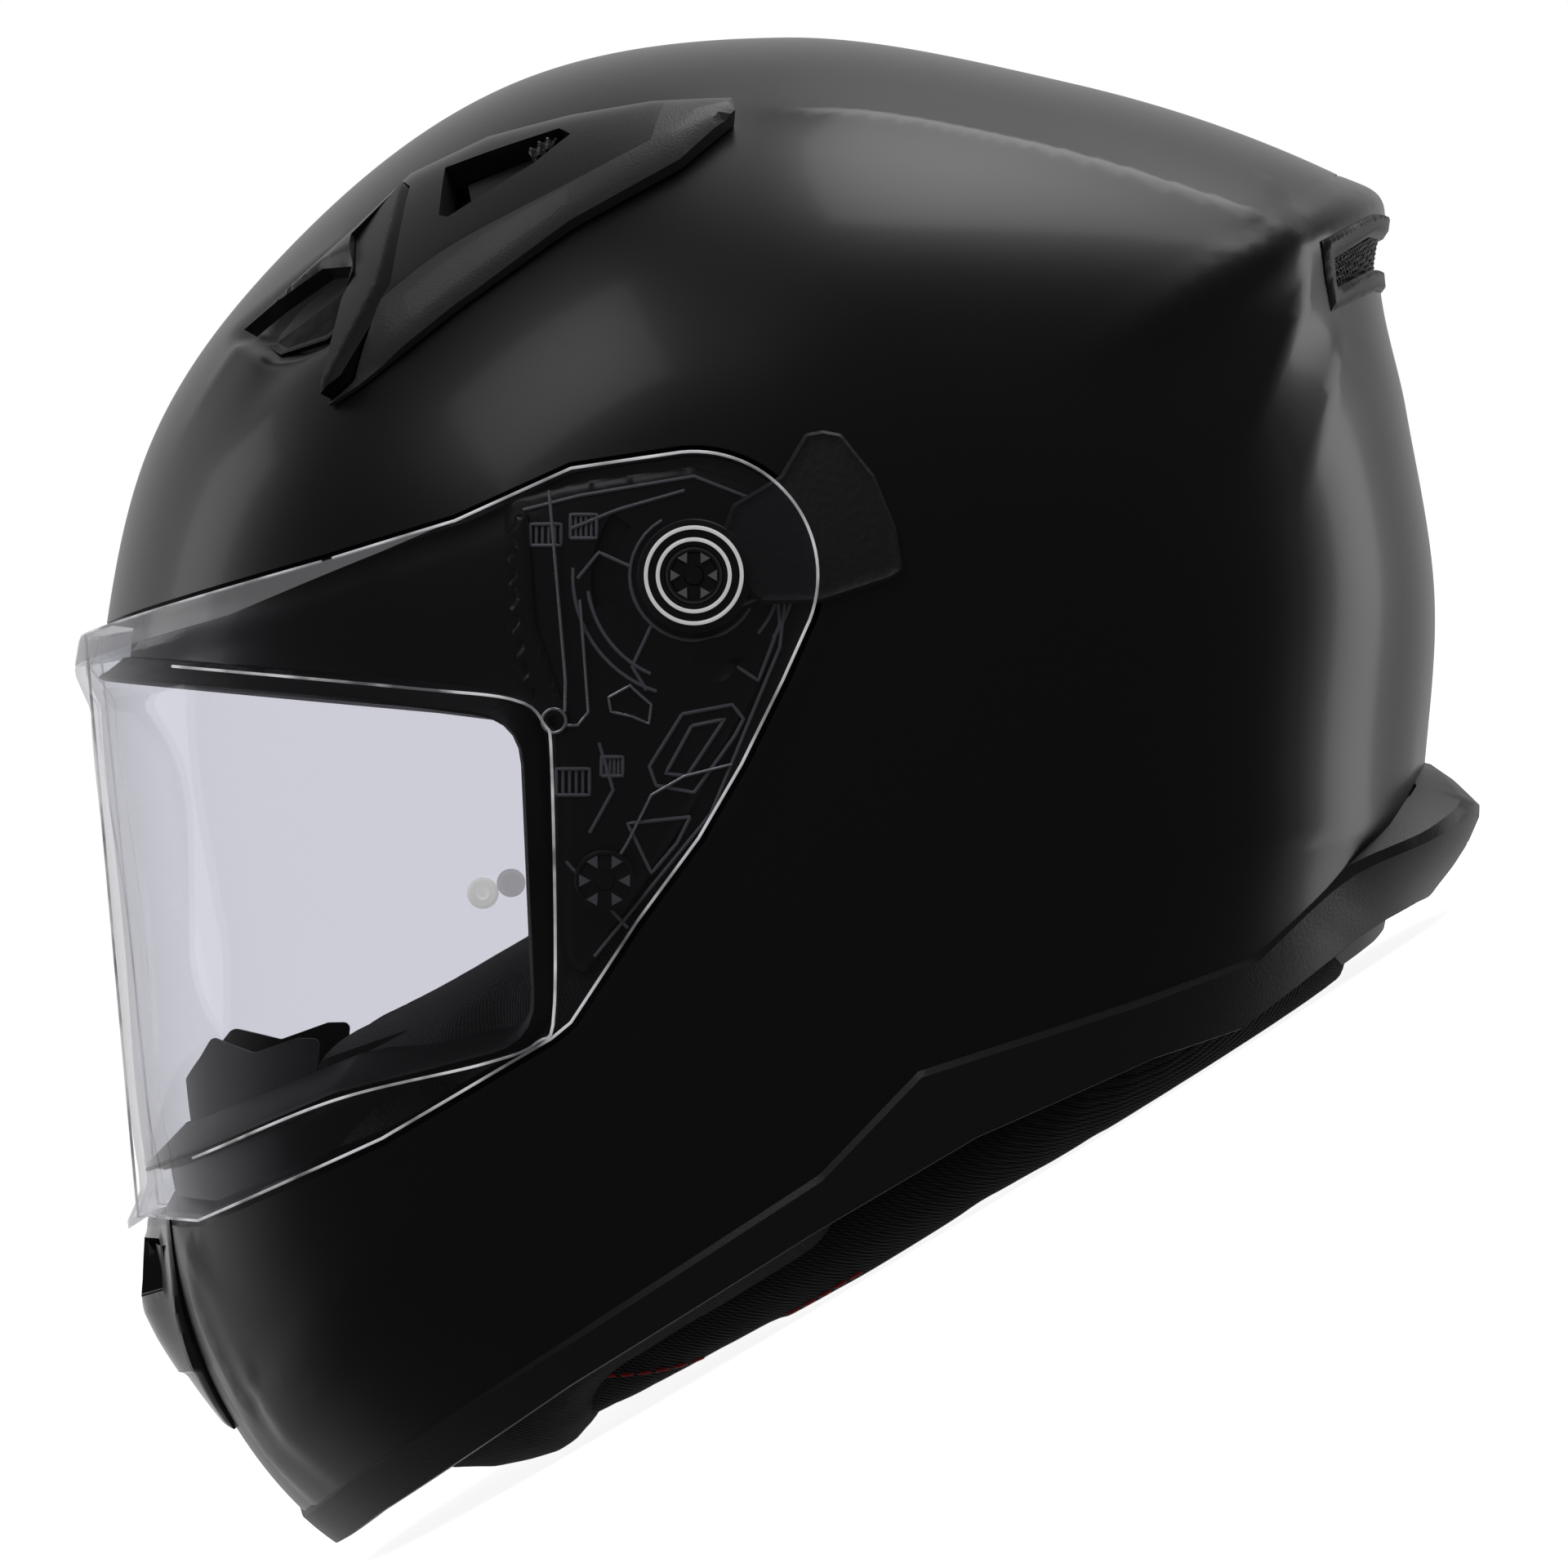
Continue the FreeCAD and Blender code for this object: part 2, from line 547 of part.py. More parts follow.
def sun_shield():
    """Tinted shield in its raised place, with arms to ears on the fixed axles."""
    outline = [(-9, -11), (-58, -4), (-116, 6), (-116, 112), (-78, 112), (-36, 52), (5, 12), (12, 2), (9, -9),
               (0, -12)]
    wall = shield_shape(SHIELD_RADIUS, SHIELD_HALF_WIDTH)
    wall = wall.cut(shield_shape(SHIELD_RADIUS - SHIELD_THICKNESS, SHIELD_HALF_WIDTH - SHIELD_THICKNESS))
    wall = wall.common(both_sides(outline, 4))
    ear = disc(22.0, SHIELD_HALF_WIDTH - SHIELD_THICKNESS, SHIELD_HALF_WIDTH)
    ear = ear.common(side_prism([(-22, 20), (6, 13), (12, 2), (9, -9), (0, -12), (-9, -11), (-22, -4)], 90, 120))
    shield = fuse([wall, ear, mirrored(ear)])
    pins = [disc(PIN_RADIUS, -FAR, FAR, *drive_pin_place())]
    return shield.cut([disc(HUB_RADIUS + RUNNING_FIT, -FAR, FAR)] + pins)


def drive_pin_place():
    degrees = SLOT_START + 9
    return PIN_ORBIT * math.cos(math.radians(degrees)), PIN_ORBIT * math.sin(math.radians(degrees))


def sun_shield_lever():
    """Finger tab and ring under the lens's ear, with the pin that drives the shield."""
    tab = [(8, 15), (18, 21), (23.2, 29.9), (30.9, 29.9), (38, 21), (42.5, 10), (43.7, 0.8), (41.2, -0.9),
           (26.6, -5.7), (14, -6), (4, 4)]
    blade = patch(tab, 2.1, 0.6)
    collar = ring(15, HUB_RADIUS + RUNNING_FIT, HALF_WIDTH + 0.5, HALF_WIDTH + 2.1)
    arm = ring_sector(PIN_ORBIT + 2.6, 12, HALF_WIDTH + 0.5, HALF_WIDTH + 2.1, SLOT_START + 1, SLOT_START + 17)
    pin = disc(PIN_RADIUS, SHIELD_HALF_WIDTH - SHIELD_THICKNESS, HALF_WIDTH + 1, *drive_pin_place())
    return fuse([blade.cut(disc(14, 90, FAR)), collar, arm, pin])


# ---------------------------------------------------------------- vents
def top_vent_cover():
    cover = patch(VENT_COVER, 6.5, 0.3)
    hollow = skin(3.9).common(side_prism(VENT_HOLLOW, 1, FAR, 2))
    mouth = side_prism(VENT_MOUTH, 1, FAR).cut(skin(1.2))
    return cover.cut([hollow, side_prism(VENT_INSERT, 1, FAR), side_prism(VENT_WINDOW, 1, FAR), mouth])


def top_vent_insert():
    return patch(VENT_INSERT, 6.0, 0.3)


def top_vent_slider():
    knob = patch([(-35.2, 89.5), (-31.2, 92.4), (-28.8, 91.9), (-30.4, 90), (-33.8, 87.4)], 7.2, 1.0)
    plate = patch([(-35, 89.2), (-31, 90.6), (-30, 88), (-34, 85.4), (-47, 77.5), (-48.5, 84)], 2.4, 1.0)
    return fuse([plate, knob])


CHIN_VENT = [(-40, -137.5), (40, -137.5), (33, -150), (26, -166), (17, -184.5), (-17, -184.5), (-26, -166),
             (-33, -150)]
SHUTTER = [(-29, -144.5), (29, -144.5), (27, -155.5), (-27, -155.5)]


def chin_vent_housing():
    body = layer(4.8, 0.2).common(front_prism(CHIN_VENT, -FAR, -60))
    body = body.cut(grown_prism(LENS_WIRE, 1.4))
    hollow = layer(3.2, -1).common(front_prism([(-34, -140), (34, -140), (29, -162), (-29, -162)], -FAR, -60))
    thumb_slot = front_prism([(-4.6, -145), (4.6, -145), (4.6, -158), (-4.6, -158)], -FAR, -60)
    return body.cut([hollow, thumb_slot] + chin_vent_ducts(0))


def chin_vent_shutter():
    plate = layer(2.4, 1.0).common(front_prism(SHUTTER, -FAR, -60))
    tab = layer(6.0, 1.2).common(front_prism([(-4, -147), (4, -147), (4, -151), (-4, -151)], -FAR, -60))
    return fuse([plate, tab])


def rear_vent_frame():
    return layer(1.0, -SHELL_WALL).common(both_sides(REAR_VENT)).cut(both_sides(REAR_MESH))


def rear_vent_mesh():
    return layer(-0.8, -1.8).common(both_sides(REAR_MESH))


def breath_guard():
    outline = [(-150, -129), (-99, -129), (-82, -119), (-80, -98), (-85, -98), (-95, -101.5), (-105, -98.5),
               (-108, -103), (-117, -114), (-150, -118)]
    return layer(-13.5, -16).common(both_sides(outline, 1.5))


def chin_air_vent():
    """Small louvred vent inside the chin bar, left side."""
    outline = [(-78.5, -113.5), (-78.5, -102), (-50, -92), (-46, -99.5)]
    return patch(outline, -13.5, -15.5)


# ---------------------------------------------------------------- chin strap
def strap_part(start_x):
    """Webbing of the left side from an inner end up to its anchor on the shell."""
    path = [(start_x, STRAP_PATH[0][1])] + STRAP_PATH[1:]
    webbing = ribbon(path, STRAP_THICKNESS, -STRAP_HALF_WIDTH, STRAP_HALF_WIDTH)
    return webbing.cut(disc(RIVET_RADIUS, 100, FAR, 0, RIVET_Z))


def strap_rivet():
    return fuse([disc(RIVET_HEAD, 107.6, 109.4, 0, RIVET_Z), disc(RIVET_RADIUS, 109.4, 115.5, 0, RIVET_Z)])


def strap_sleeve(start_x, end_x):
    """Padded tube round the flat middle of the strap."""
    z = STRAP_PATH[0][1]
    pad = Part.makeBox(end_x - start_x, 32, 7, Vector(start_x, -16, z - 3.5))
    return pad.cut(Part.makeBox(end_x - start_x + 2, 22.6, 2.6, Vector(start_x - 1, -11.3, z - 1.3)))


BUCKLE_X = 20.0


def buckle_body():
    """Metal housing of the ratchet buckle, open where the toothed tongue slides in."""
    z = STRAP_PATH[0][1]
    box = Part.makeBox(26, 27, 9, Vector(BUCKLE_X - 13, -13.5, z - 5.5))
    tongue_way = Part.makeBox(40, 19, 3.8, Vector(BUCKLE_X - 30, -9.5, z - 1.8))
    lever_way = Part.makeBox(22, 18.6, 5, Vector(BUCKLE_X - 14, -9.3, z - 6))
    strap_way = Part.makeBox(8, 22.4, 2.4, Vector(BUCKLE_X + 9, -11.2, z - 1.2))
    pin_bore = Part.makeCylinder(1.5 + RUNNING_FIT, 40, Vector(BUCKLE_X + 5, -20, z - 4.2), Vector(0, 1, 0))
    return box.cut([tongue_way, lever_way, strap_way, pin_bore])


def buckle_lever():
    z = STRAP_PATH[0][1]
    blade = Part.makeBox(20.5, 18, 2.2, Vector(BUCKLE_X - 13, -9, z - 5.3))
    thumb = Part.makeBox(4, 18, 4.5, Vector(BUCKLE_X - 17, -9, z - 7.6))
    pin = Part.makeCylinder(1.5, 26, Vector(BUCKLE_X + 5, -13, z - 4.2), Vector(0, 1, 0))
    return fuse([blade, thumb, pin])


def buckle_tongue():
    """Toothed strip on the end of the long strap."""
    z = STRAP_PATH[0][1]
    strip = Part.makeBox(34, 18, 2, Vector(BUCKLE_X - 27, -9, z - 1.2))
    teeth = []
    for index in range(8):
        x = BUCKLE_X - 14 + 2.4 * index
        profile = [Vector(x, -6, z + 0.8), Vector(x + 2.2, -6, z + 0.8), Vector(x + 2.2, -6, z + 1.7)]
        teeth.append(Part.Face(Part.makePolygon(profile + profile[:1])).extrude(Vector(0, 12, 0)))
    return fuse([strip] + teeth)


def chin_strap_right():
    """Long side of the strap: it crosses under the chin to the tongue."""
    strap = mirrored(strap_part(BUCKLE_X - 20))
    lap = Part.makeBox(30, 22, 2, Vector(BUCKLE_X - 45, -11, STRAP_PATH[0][1] - 1))
    return fuse([strap, lap]).cut(buckle_tongue())


# ---------------------------------------------------------------- assembly
def nodes():
    parts = {
        "outer_shell": outer_shell(),
        "eps_liner": eps_liner(),
        "chin_bar_liner": chin_bar_liner(),
        "crown_liner": crown_liner(),
        "neck_roll": neck_roll(),
        "base_trim": base_trim(),
        "rear_neck_cover": rear_neck_cover(),
        "eyeport_gasket": eyeport_gasket(),
        "visor_lens": visor_lens(),
        "pinlock_pins": pair(pinlock_pin()),
        "visor_hub_rings": pair(visor_hub_ring()),
        "base_plate_screws": base_plate_screws(),
        "sun_shield": sun_shield(),
        "sun_shield_lever": sun_shield_lever(),
        "chin_vent_housing": chin_vent_housing(),
        "chin_vent_shutter": chin_vent_shutter(),
        "rear_vent_frame": rear_vent_frame(),
        "rear_vent_mesh": rear_vent_mesh(),
        "breath_guard": breath_guard(),
        "chin_air_grille": pair(chin_air_vent()),
    }
    on_the_strap = {
        "chin_strap_left": strap_part(BUCKLE_X + 9.5),
        "chin_strap_right": chin_strap_right(),
        "strap_rivets": pair(strap_rivet()),
        "strap_sleeve": mirrored(strap_sleeve(8, 33)),
        "buckle_body": buckle_body(),
        "buckle_lever": buckle_lever(),
        "buckle_tongue": buckle_tongue(),
    }
    for name, shape in on_the_strap.items():
        shape.translate(Vector(0, STRAP_Y, 0))
        parts[name] = shape
    left_and_right = {
        "cheek_pad": cheek_pad(),
        "visor_base_plate": visor_base_plate(),
        "detent_arm": detent_arm(),
        "torsion_spring": torsion_spring(),
        "top_vent_cover": top_vent_cover(),
        "top_vent_insert": top_vent_insert(),
        "top_vent_slider": top_vent_slider(),
    }
    for name, shape in left_and_right.items():
        parts[name + "_left"] = shape
        parts[name + "_right"] = mirrored(shape)
    return parts


def rest_placement(shapes):
    """Leans the worn helmet back and puts the middle of its footprint on the origin."""
    lean = Placement(Vector(0, 0, 0), Rotation(Vector(1, 0, 0), -REST_TILT))
    boxes = []
    for shape in shapes:
        leaned = shape.copy()
        leaned.Placement = lean
        boxes.append(leaned.optimalBoundingBox(False))
    low_y = min(box.YMin for box in boxes)
    high_y = max(box.YMax for box in boxes)
    low_z = min(box.ZMin for box in boxes)
    return Placement(Vector(0, -(low_y + high_y) / 2, -low_z), Rotation(Vector(1, 0, 0), -REST_TILT))


def main():
    os.makedirs("parts", exist_ok=True)
    parts = nodes()
    placement = rest_placement([parts[name] for name in ("outer_shell", "base_trim", "neck_roll", "visor_lens",
                                                         "cheek_pad_left")])
    print("rest placement", placement.Base)
    for name, shape in parts.items():
        shape.Placement = placement.multiply(shape.Placement)
        print(name, len(shape.Solids), shape.isValid(), round(shape.Volume / 1000, 2), "cm3")
        shape.exportStep("parts/" + name + ".step")


if __name__ == "__main__":
    main()
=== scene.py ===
"""Full-face motorcycle helmet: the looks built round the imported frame, laid out as a Blender add-on.

Shapes are worked out in the worn frame, in millimetres: the origin is on the visor's hinge
axis in the middle of the head, +X is the rider's left, -Y straight ahead and +Z up. placed()
turns such points into the frame's own metres, where the helmet leans back on its rim.
"""

import math

import bmesh
import bpy
import numpy as np
from bpy.props import FloatProperty, FloatVectorProperty, IntProperty, PointerProperty
from mathutils import Matrix, Vector, geometry, kdtree
from mathutils.bvhtree import BVHTree


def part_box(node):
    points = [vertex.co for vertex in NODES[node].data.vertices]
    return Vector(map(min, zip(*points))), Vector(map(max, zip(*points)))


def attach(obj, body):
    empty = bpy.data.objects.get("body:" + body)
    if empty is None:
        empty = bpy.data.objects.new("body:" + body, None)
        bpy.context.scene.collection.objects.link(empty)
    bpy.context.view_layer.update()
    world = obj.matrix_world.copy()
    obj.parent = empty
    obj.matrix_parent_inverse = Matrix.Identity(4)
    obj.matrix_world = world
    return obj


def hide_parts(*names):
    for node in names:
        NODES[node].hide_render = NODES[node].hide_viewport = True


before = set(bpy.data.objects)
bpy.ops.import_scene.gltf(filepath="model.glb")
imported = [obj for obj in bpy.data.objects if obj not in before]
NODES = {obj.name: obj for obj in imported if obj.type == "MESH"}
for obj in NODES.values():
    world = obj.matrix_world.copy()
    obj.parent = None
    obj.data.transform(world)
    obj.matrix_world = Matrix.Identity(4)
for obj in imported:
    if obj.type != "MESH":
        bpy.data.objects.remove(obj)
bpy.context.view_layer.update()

bl_info = {
    "name": "Motorcycle helmet",
    "version": (1, 0, 0),
    "blender": (4, 5, 0),
    "location": "View3D > Sidebar > Helmet",
    "description": "Builds a full-face motorcycle helmet round its packed frame",
    "category": "Add Mesh",
}

# ---------------------------------------------------------------- the shell's own dimensions
HALF_WIDTH = 122.5
REST_TILT = 31.0
POLE_POWER = 2.4
LENS_POLE_POWER = 3.2
LENS_INNER = 2.5
LENS_OUTER = 4.8
RECESS_DEPTH = 6.0
HUB_RADIUS = 7.3
FULL_TURN = 2 * math.pi
MIDDLE = math.pi / 2        # map radius of the helmet's middle plane

PROFILE = [(162.4, -4), (156, 39), (150, 70), (150, 86), (141, 90.5), (84, 110.3), (19, 120.8),
           (-40, 111), (-89.6, 75), (-120.4, 32), (-130.3, -8), (-125, -92), (-119.7, -135.5),
           (-106.7, -177), (-84.6, -206), (-19, -225), (84, -193), (150, -96), (157.5, -62),
           (160.3, -38)]
SPOILER = [(150, 70), (150, 86), (141, 90.5)]
SQUARENESS = [(0, 2.5), (40, 2.4), (90, 2.25), (150, 2.25), (180, 2.35), (215, 2.6),
              (238, 3.2), (255, 3.0), (285, 2.6), (330, 2.5)]

# Side outlines (y, z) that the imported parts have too.
RIM = [(-79, -211), (-67, -201), (-26, -172), (26, -139), (60, -119), (98, -102.5),
       (117, -96.5), (147, -74.5), (162, -64), (172, -48)]
TRIM_TOP = [(-86, -202), (-75, -192), (-51, -176), (-26, -160), (26, -126), (47, -104),
            (94, -89), (119, -80), (149, -52), (160, -39)]
LIP = [(156, -36), (160, -37), (171, -47), (171.5, -50), (162, -64.5), (150, -62)]
LENS_TOP = [(-160, -18), (-131.4, -10.4), (-78.8, 3.3), (-50.2, 11.6), (-25.8, 22.5)]
LENS_EAR = 26.0
LENS_BACK = [(18.6, -22), (10, -39.5), (1, -55), (-11.9, -72.5), (-25.9, -93.8), (-30, -97.2),
             (-66, -118.5), (-107, -137.5), (-160, -138.5)]
EYEPORT = [(-170, -17), (-60, -27), (-36.4, -30), (-33.7, -96), (-75.2, -106.5),
           (-111, -122), (-170, -147)]
BASE_PLATE = [(-40, 17), (-26, 19.5), (0, 23), (18, 17), (23, 2), (17.5, -16), (-2.5, -52),
              (-23, -84), (-28, -80), (-28.5, -45), (-31, -30), (-39, -18)]
VENT_COVER = [(-97, 54), (-72.5, 75.7), (-61, 87.1), (-44.3, 94.7), (-26.8, 98.9),
              (-9.2, 101.7), (7.7, 102.3), (8.4, 99.4), (-3.1, 89.2), (-26.8, 75.7),
              (-51.4, 58.2), (-72.5, 41.5), (-79.1, 37.4), (-74.5, 59), (-73, 66.5),
              (-79.5, 66.4), (-90, 59.5)]
VENT_INSERT = [(-72.5, 73.2), (-62, 84.2), (-60.3, 82.5), (-63.3, 61.1), (-74, 42.4),
               (-78.4, 38.6), (-74.9, 59.7), (-72.1, 65)]
VENT_MOUTH = [(-92, 57.8), (-73.5, 73.5), (-74, 67.5), (-80, 66.5), (-88, 60)]
VENT_WINDOW = [(-52.5, 86.4), (-53.2, 75.4), (-51.3, 75), (-33.7, 86.1), (-26, 92.7),
               (-28.5, 94.3)]
CHEEK = [(33, -38), (-24, -40), (-32, -72), (-62, -90), (-82, -101), (-88, -125),
         (-80, -160), (-66, -181), (-50, -188.5), (-29, -184.5), (-19, -178), (-14, -166), (34, -136)]
NECK_ROLL = [(-28, -162), (38, -119), (96, -90), (128, -76), (150, -62), (158, -70), (140, -85),
             (110, -104), (76, -124), (36, -148), (-10, -172.5), (-23, -178.5), (-31, -177)]
REAR_VENT = [(134.5, 73), (136.5, 58), (148, 64), (175, 70), (175, 84), (147.5, 80.5)]
REAR_MESH = [(137.4, 69.5), (138, 63.4), (147, 68.4), (175, 74), (175, 80.5), (147, 76)]
CROWN_LINER = [(-200, -6), (-60, -14), (-28, -34), (37, -34), (40, -96), (62, -98), (100, -80),
               (128, -58), (200, -30), (200, 200), (-200, 200)]
DETENT_HINGE = (-29.4, -30.4)
LOWER_SCREW = (-18.8, -64.0)
PINLOCK = (-44.3, -66.6)

# Style lines of the shell, (y, z).
CROWN_CREASE = [(5, 101.5), (43.5, 97.5), (78.6, 90), (113.8, 79), (134.8, 72)]
TAIL_CREASE = [(134.8, 72), (123, 45), (109, 14)]
LOW_CREASE = [(78, -60), (112, -57), (157, -52)]
CHIN_CREASE = [(-93.9, -179), (-74.2, -151.8), (-54, -126)]
CHEEK_CREASE = [(-93.4, -191), (-79.1, -171.5), (-61.6, -147.8), (-46.5, -128.5), (-36.6, -121.4),
                (-22.7, -117.7), (0, -114.5), (26, -112)]
NOSE_CREASE = [(-109, -138), (-107.6, -155.6), (-98.2, -175.1), (-93.9, -181)]
BROW_CHANNEL = [(-116, 25), (-97, 53), (-83, 67), (-72, 74)]
LENS_RIDGE = [(-137, -19.5), (-97, -9), (-65.4, 3.7), (-38, 19)]
BROW_BEVEL = [(-160, -17.2), (-131.4, -11), (-78.8, 2.8), (-50.2, 11), (-38, 16.4), (-65.4, 4.9),
              (-97, -7.6), (-137, -18), (-160, -21.5)]
LENS_FLANGE = [(-30, -90), (-70, -111), (-103.8, -128.4), (-135, -130)]
VENT_SCOOP = [(-98, 53.5), (-74, 71), (-73.5, 60), (-81, 52.5), (-92, 49.5)]
VENT_TIP_LINE = [(-9, 91.5), (-6, 102.5)]
VENT_INSERT_FOLD = [(-62, 83), (-66.5, 62), (-77, 41)]
SLIDER_KNOB = [(-35.2, 89.5), (-31.2, 92.4), (-28.8, 91.9), (-30.4, 90), (-33.8, 87.4)]
SLIDER_PLATE = [(-35, 89.2), (-31, 90.6), (-30, 88), (-34, 85.4), (-47, 77.5), (-48.5, 84)]
TAIL_EDGE = [(140, 56), (133, 30), (126, 8)]
VENT_CREASE = [(-66, 57), (-51.1, 68.3), (-26.6, 81.5), (-9.1, 91.1), (3, 96.5)]


# ---------------------------------------------------------------- the skin family
def smooth_step(value, start, end):
    share = np.clip((np.asarray(value, float) - start) / (end - start), 0, 1)
    return share * share * (3 - 2 * share)


class ClosedCurve:
    """Smooth closed curve of a value against an angle, through its knots."""

    def __init__(self, knots):
        knots = sorted(knots)
        angles = [angle for angle, _ in knots]
        values = [value for _, value in knots]
        self.angles = np.array([a - FULL_TURN for a in angles[-2:]] + angles + [a + FULL_TURN for a in angles[:3]])
        self.values = np.array(values[-2:] + values + values[:3])

    def __call__(self, angle):
        angle = np.mod(angle, FULL_TURN)
        here = np.searchsorted(self.angles, angle, side="right") - 1
        t0, t1, t2, t3 = [self.angles[here + step] for step in (-1, 0, 1, 2)]
        a, b, c, d = [self.values[here + step] for step in (-1, 0, 1, 2)]
        leave = ((c - b) / (t2 - t1) * (t1 - t0) + (b - a) / (t1 - t0) * (t2 - t1)) / (t2 - t0)
        arrive = ((d - c) / (t3 - t2) * (t2 - t1) + (c - b) / (t2 - t1) * (t3 - t2)) / (t3 - t1)
        span = t2 - t1
        s = (angle - t1) / span
        return ((2 * s**3 - 3 * s**2 + 1) * b + (s**3 - 2 * s**2 + s) * span * leave
                + (3 * s**2 - 2 * s**3) * c + (s**3 - s**2) * span * arrive)


def polar(points):
    return [(math.atan2(z, y) % FULL_TURN, math.hypot(y, z)) for y, z in points]


MIDDLE_RADIUS = ClosedCurve(polar(PROFILE))
SIDE_RADIUS = ClosedCurve(polar([point for point in PROFILE if point not in SPOILER]))
POWER = ClosedCurve([(math.radians(degrees), power) for degrees, power in SQUARENESS])


def radius_at(turn, out):
    side = SIDE_RADIUS(turn)
    return side + (MIDDLE_RADIUS(turn) - side) * smooth_step(out, 0.5, 0.9)


def skin(turn, out, offset, pole_power=POLE_POWER):
    """Points (x, y, z) of the offset shell: turn round the hinge axis, out from 0 at +X to 1."""
    power = pole_power + (POWER(turn) - pole_power) * smooth_step(out, 0.15, 0.6)
    reach = out * (radius_at(turn, out) + offset)
    width = (HALF_WIDTH + offset) * np.sqrt(np.maximum(0, 1 - np.minimum(out, 1) ** power))
    return np.stack([width, reach * np.cos(turn), reach * np.sin(turn)], -1)


def side_place(turn, out, offset):
    """Where a point of the skin is in the side view."""
    reach = out * (radius_at(turn, out) + offset)
    return np.stack([reach * np.cos(turn), reach * np.sin(turn)], -1)


def turn_and_out(side, offset):
    """Turn and out of the skin's point at a place (y, z) in the side view."""
    side = np.asarray(side, float)
    turn = np.arctan2(side[..., 1], side[..., 0])
    reach = np.hypot(side[..., 0], side[..., 1])
    out = np.full(turn.shape, 0.5)
    for _ in range(12):
        out = reach / (radius_at(turn, np.minimum(out, 1)) + offset)
    return turn, out


def to_map(side, offset):
    """Side view to a round, nearly undistorted map whose edge is the middle plane."""
    turn, out = turn_and_out(side, offset)
    tilt = np.where(out <= 1, np.arcsin(np.minimum(out, 1)), MIDDLE + 2 * (out - 1))
    return np.stack([tilt * np.cos(turn), tilt * np.sin(turn)], -1)


def from_map(points):
    return np.arctan2(points[:, 1], points[:, 0]), np.sin(np.minimum(np.hypot(points[:, 0], points[:, 1]), MIDDLE))


def placed(points):
    """Worn millimetres to the frame's metres."""
    low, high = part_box("visor_hub_rings")
    pivot = np.array((low + high) / 2)
    lean = np.array(Matrix.Rotation(math.radians(-REST_TILT), 3, "X"))
    return np.asarray(points, float) @ lean.T * 0.001 + pivot


def worn(points):
    """The frame's metres back to worn millimetres."""
    origin, along_x, along_y, along_z = placed([(0, 0, 0), (1000, 0, 0), (0, 1000, 0), (0, 0, 1000)])
    lean = np.array([along_x - origin, along_y - origin, along_z - origin])
    return (np.asarray(points, float) - origin) @ lean.T * 1000


def on_skin(side, offset, pole_power=POLE_POWER):
    """Points of the wearer's left, at places of the side view and an offset from the shell."""
    turn, out = turn_and_out(side, offset)
    return skin(turn, np.minimum(out, 1), offset, pole_power)


def side_of(x, z, front=True):
    """Side-view places of points of the face's or the nape's skin, from x and z."""
    x, z = np.broadcast_arrays(np.asarray(x, float), np.asarray(z, float))
    within = np.full(x.shape, -20.0 if front else 60.0)
    beyond = np.full(x.shape, -180.0 if front else 190.0)
    for _ in range(36):
        y = (within + beyond) / 2
        turn = np.arctan2(z, y)
        out = np.maximum(0, 1 - (x / HALF_WIDTH) ** 2) ** (1 / POWER(turn))
        outside = np.hypot(y, z) > out * radius_at(turn, out)
        beyond = np.where(outside, y, beyond)
        within = np.where(outside, within, y)
    return np.stack([y, z], -1)


def off_the_chin(x, z, offset):
    """Points an offset in front of the chin's skin, from x and z."""
    def depth(x, z):
        return side_of(x, z)[:, 0]
    probe = 0.5
    slope_x = (depth(x + probe, z) - depth(np.abs(x - probe), z)) / (2 * probe)
    slope_z = (depth(x, z + probe) - depth(x, z - probe)) / (2 * probe)
    normal = np.stack([np.where(x < probe, 0, slope_x), -np.ones(len(x)), slope_z], -1)
    normal /= np.linalg.norm(normal, axis=1)[:, None]
    return np.stack([x, depth(x, z), z], -1) + normal * offset[:, None]


# ---------------------------------------------------------------- outlines
def spread(path, step, closed):
    """The path with points added so that none are more than a step apart."""
    path = [np.array(point, float) for point in path]
    ends = path + path[:1] if closed else path
    result = []
    for start, end in zip(ends, ends[1:]):
        count = max(1, math.ceil(np.linalg.norm(end - start) / step))
        result += [start + (end - start) * index / count for index in range(count)]
    if not closed:
        result.append(path[-1])
    return np.array(result)


def rounded(points, radius, steps=5):
    """Closed outline with its corners rounded."""
    result = []
    count = len(points)
    for index in range(count):
        corner = np.array(points[index], float)
        before = np.array(points[index - 1], float) - corner
        after = np.array(points[(index + 1) % count], float) - corner
        u = before / np.linalg.norm(before)
        v = after / np.linalg.norm(after)
        half = math.acos(max(-1.0, min(1.0, float(u @ v)))) / 2
        if half > 1.5:
            result.append(tuple(corner))
            continue
        reach = min(radius / math.tan(half), 0.45 * np.linalg.norm(before), 0.45 * np.linalg.norm(after))
        for step in range(steps + 1):
            share = step / steps
            near, far = (1 - share) ** 2, share**2
            result.append(tuple(corner + u * reach * near + v * reach * far))
    return result


def smoothed(points, step=2.0):
    """Open curve through points (Catmull-Rom)."""
    p = [np.array(point, float) for point in points]
    p = [2 * p[0] - p[1]] + p + [2 * p[-1] - p[-2]]
    result = []
    for a, b, c, d in zip(p, p[1:], p[2:], p[3:]):
        count = max(2, math.ceil(np.linalg.norm(c - b) / step))
        for index in range(count):
            s = index / count
            result.append(0.5 * (2 * b + (c - a) * s + (2 * a - 5 * b + 4 * c - d) * s**2
                                 + (3 * b - a - 3 * c + d) * s**3))
    result.append(p[-2])
    return np.array(result)


def arc(centre, radius, start, end, count=24):
    angles = np.radians(np.linspace(start, end, count))
    return [(centre[0] + radius * math.cos(a), centre[1] + radius * math.sin(a)) for a in angles]


def circle(centre, radius, count=32):
    return arc(centre, radius, 0, 360 - 360 / count, count)


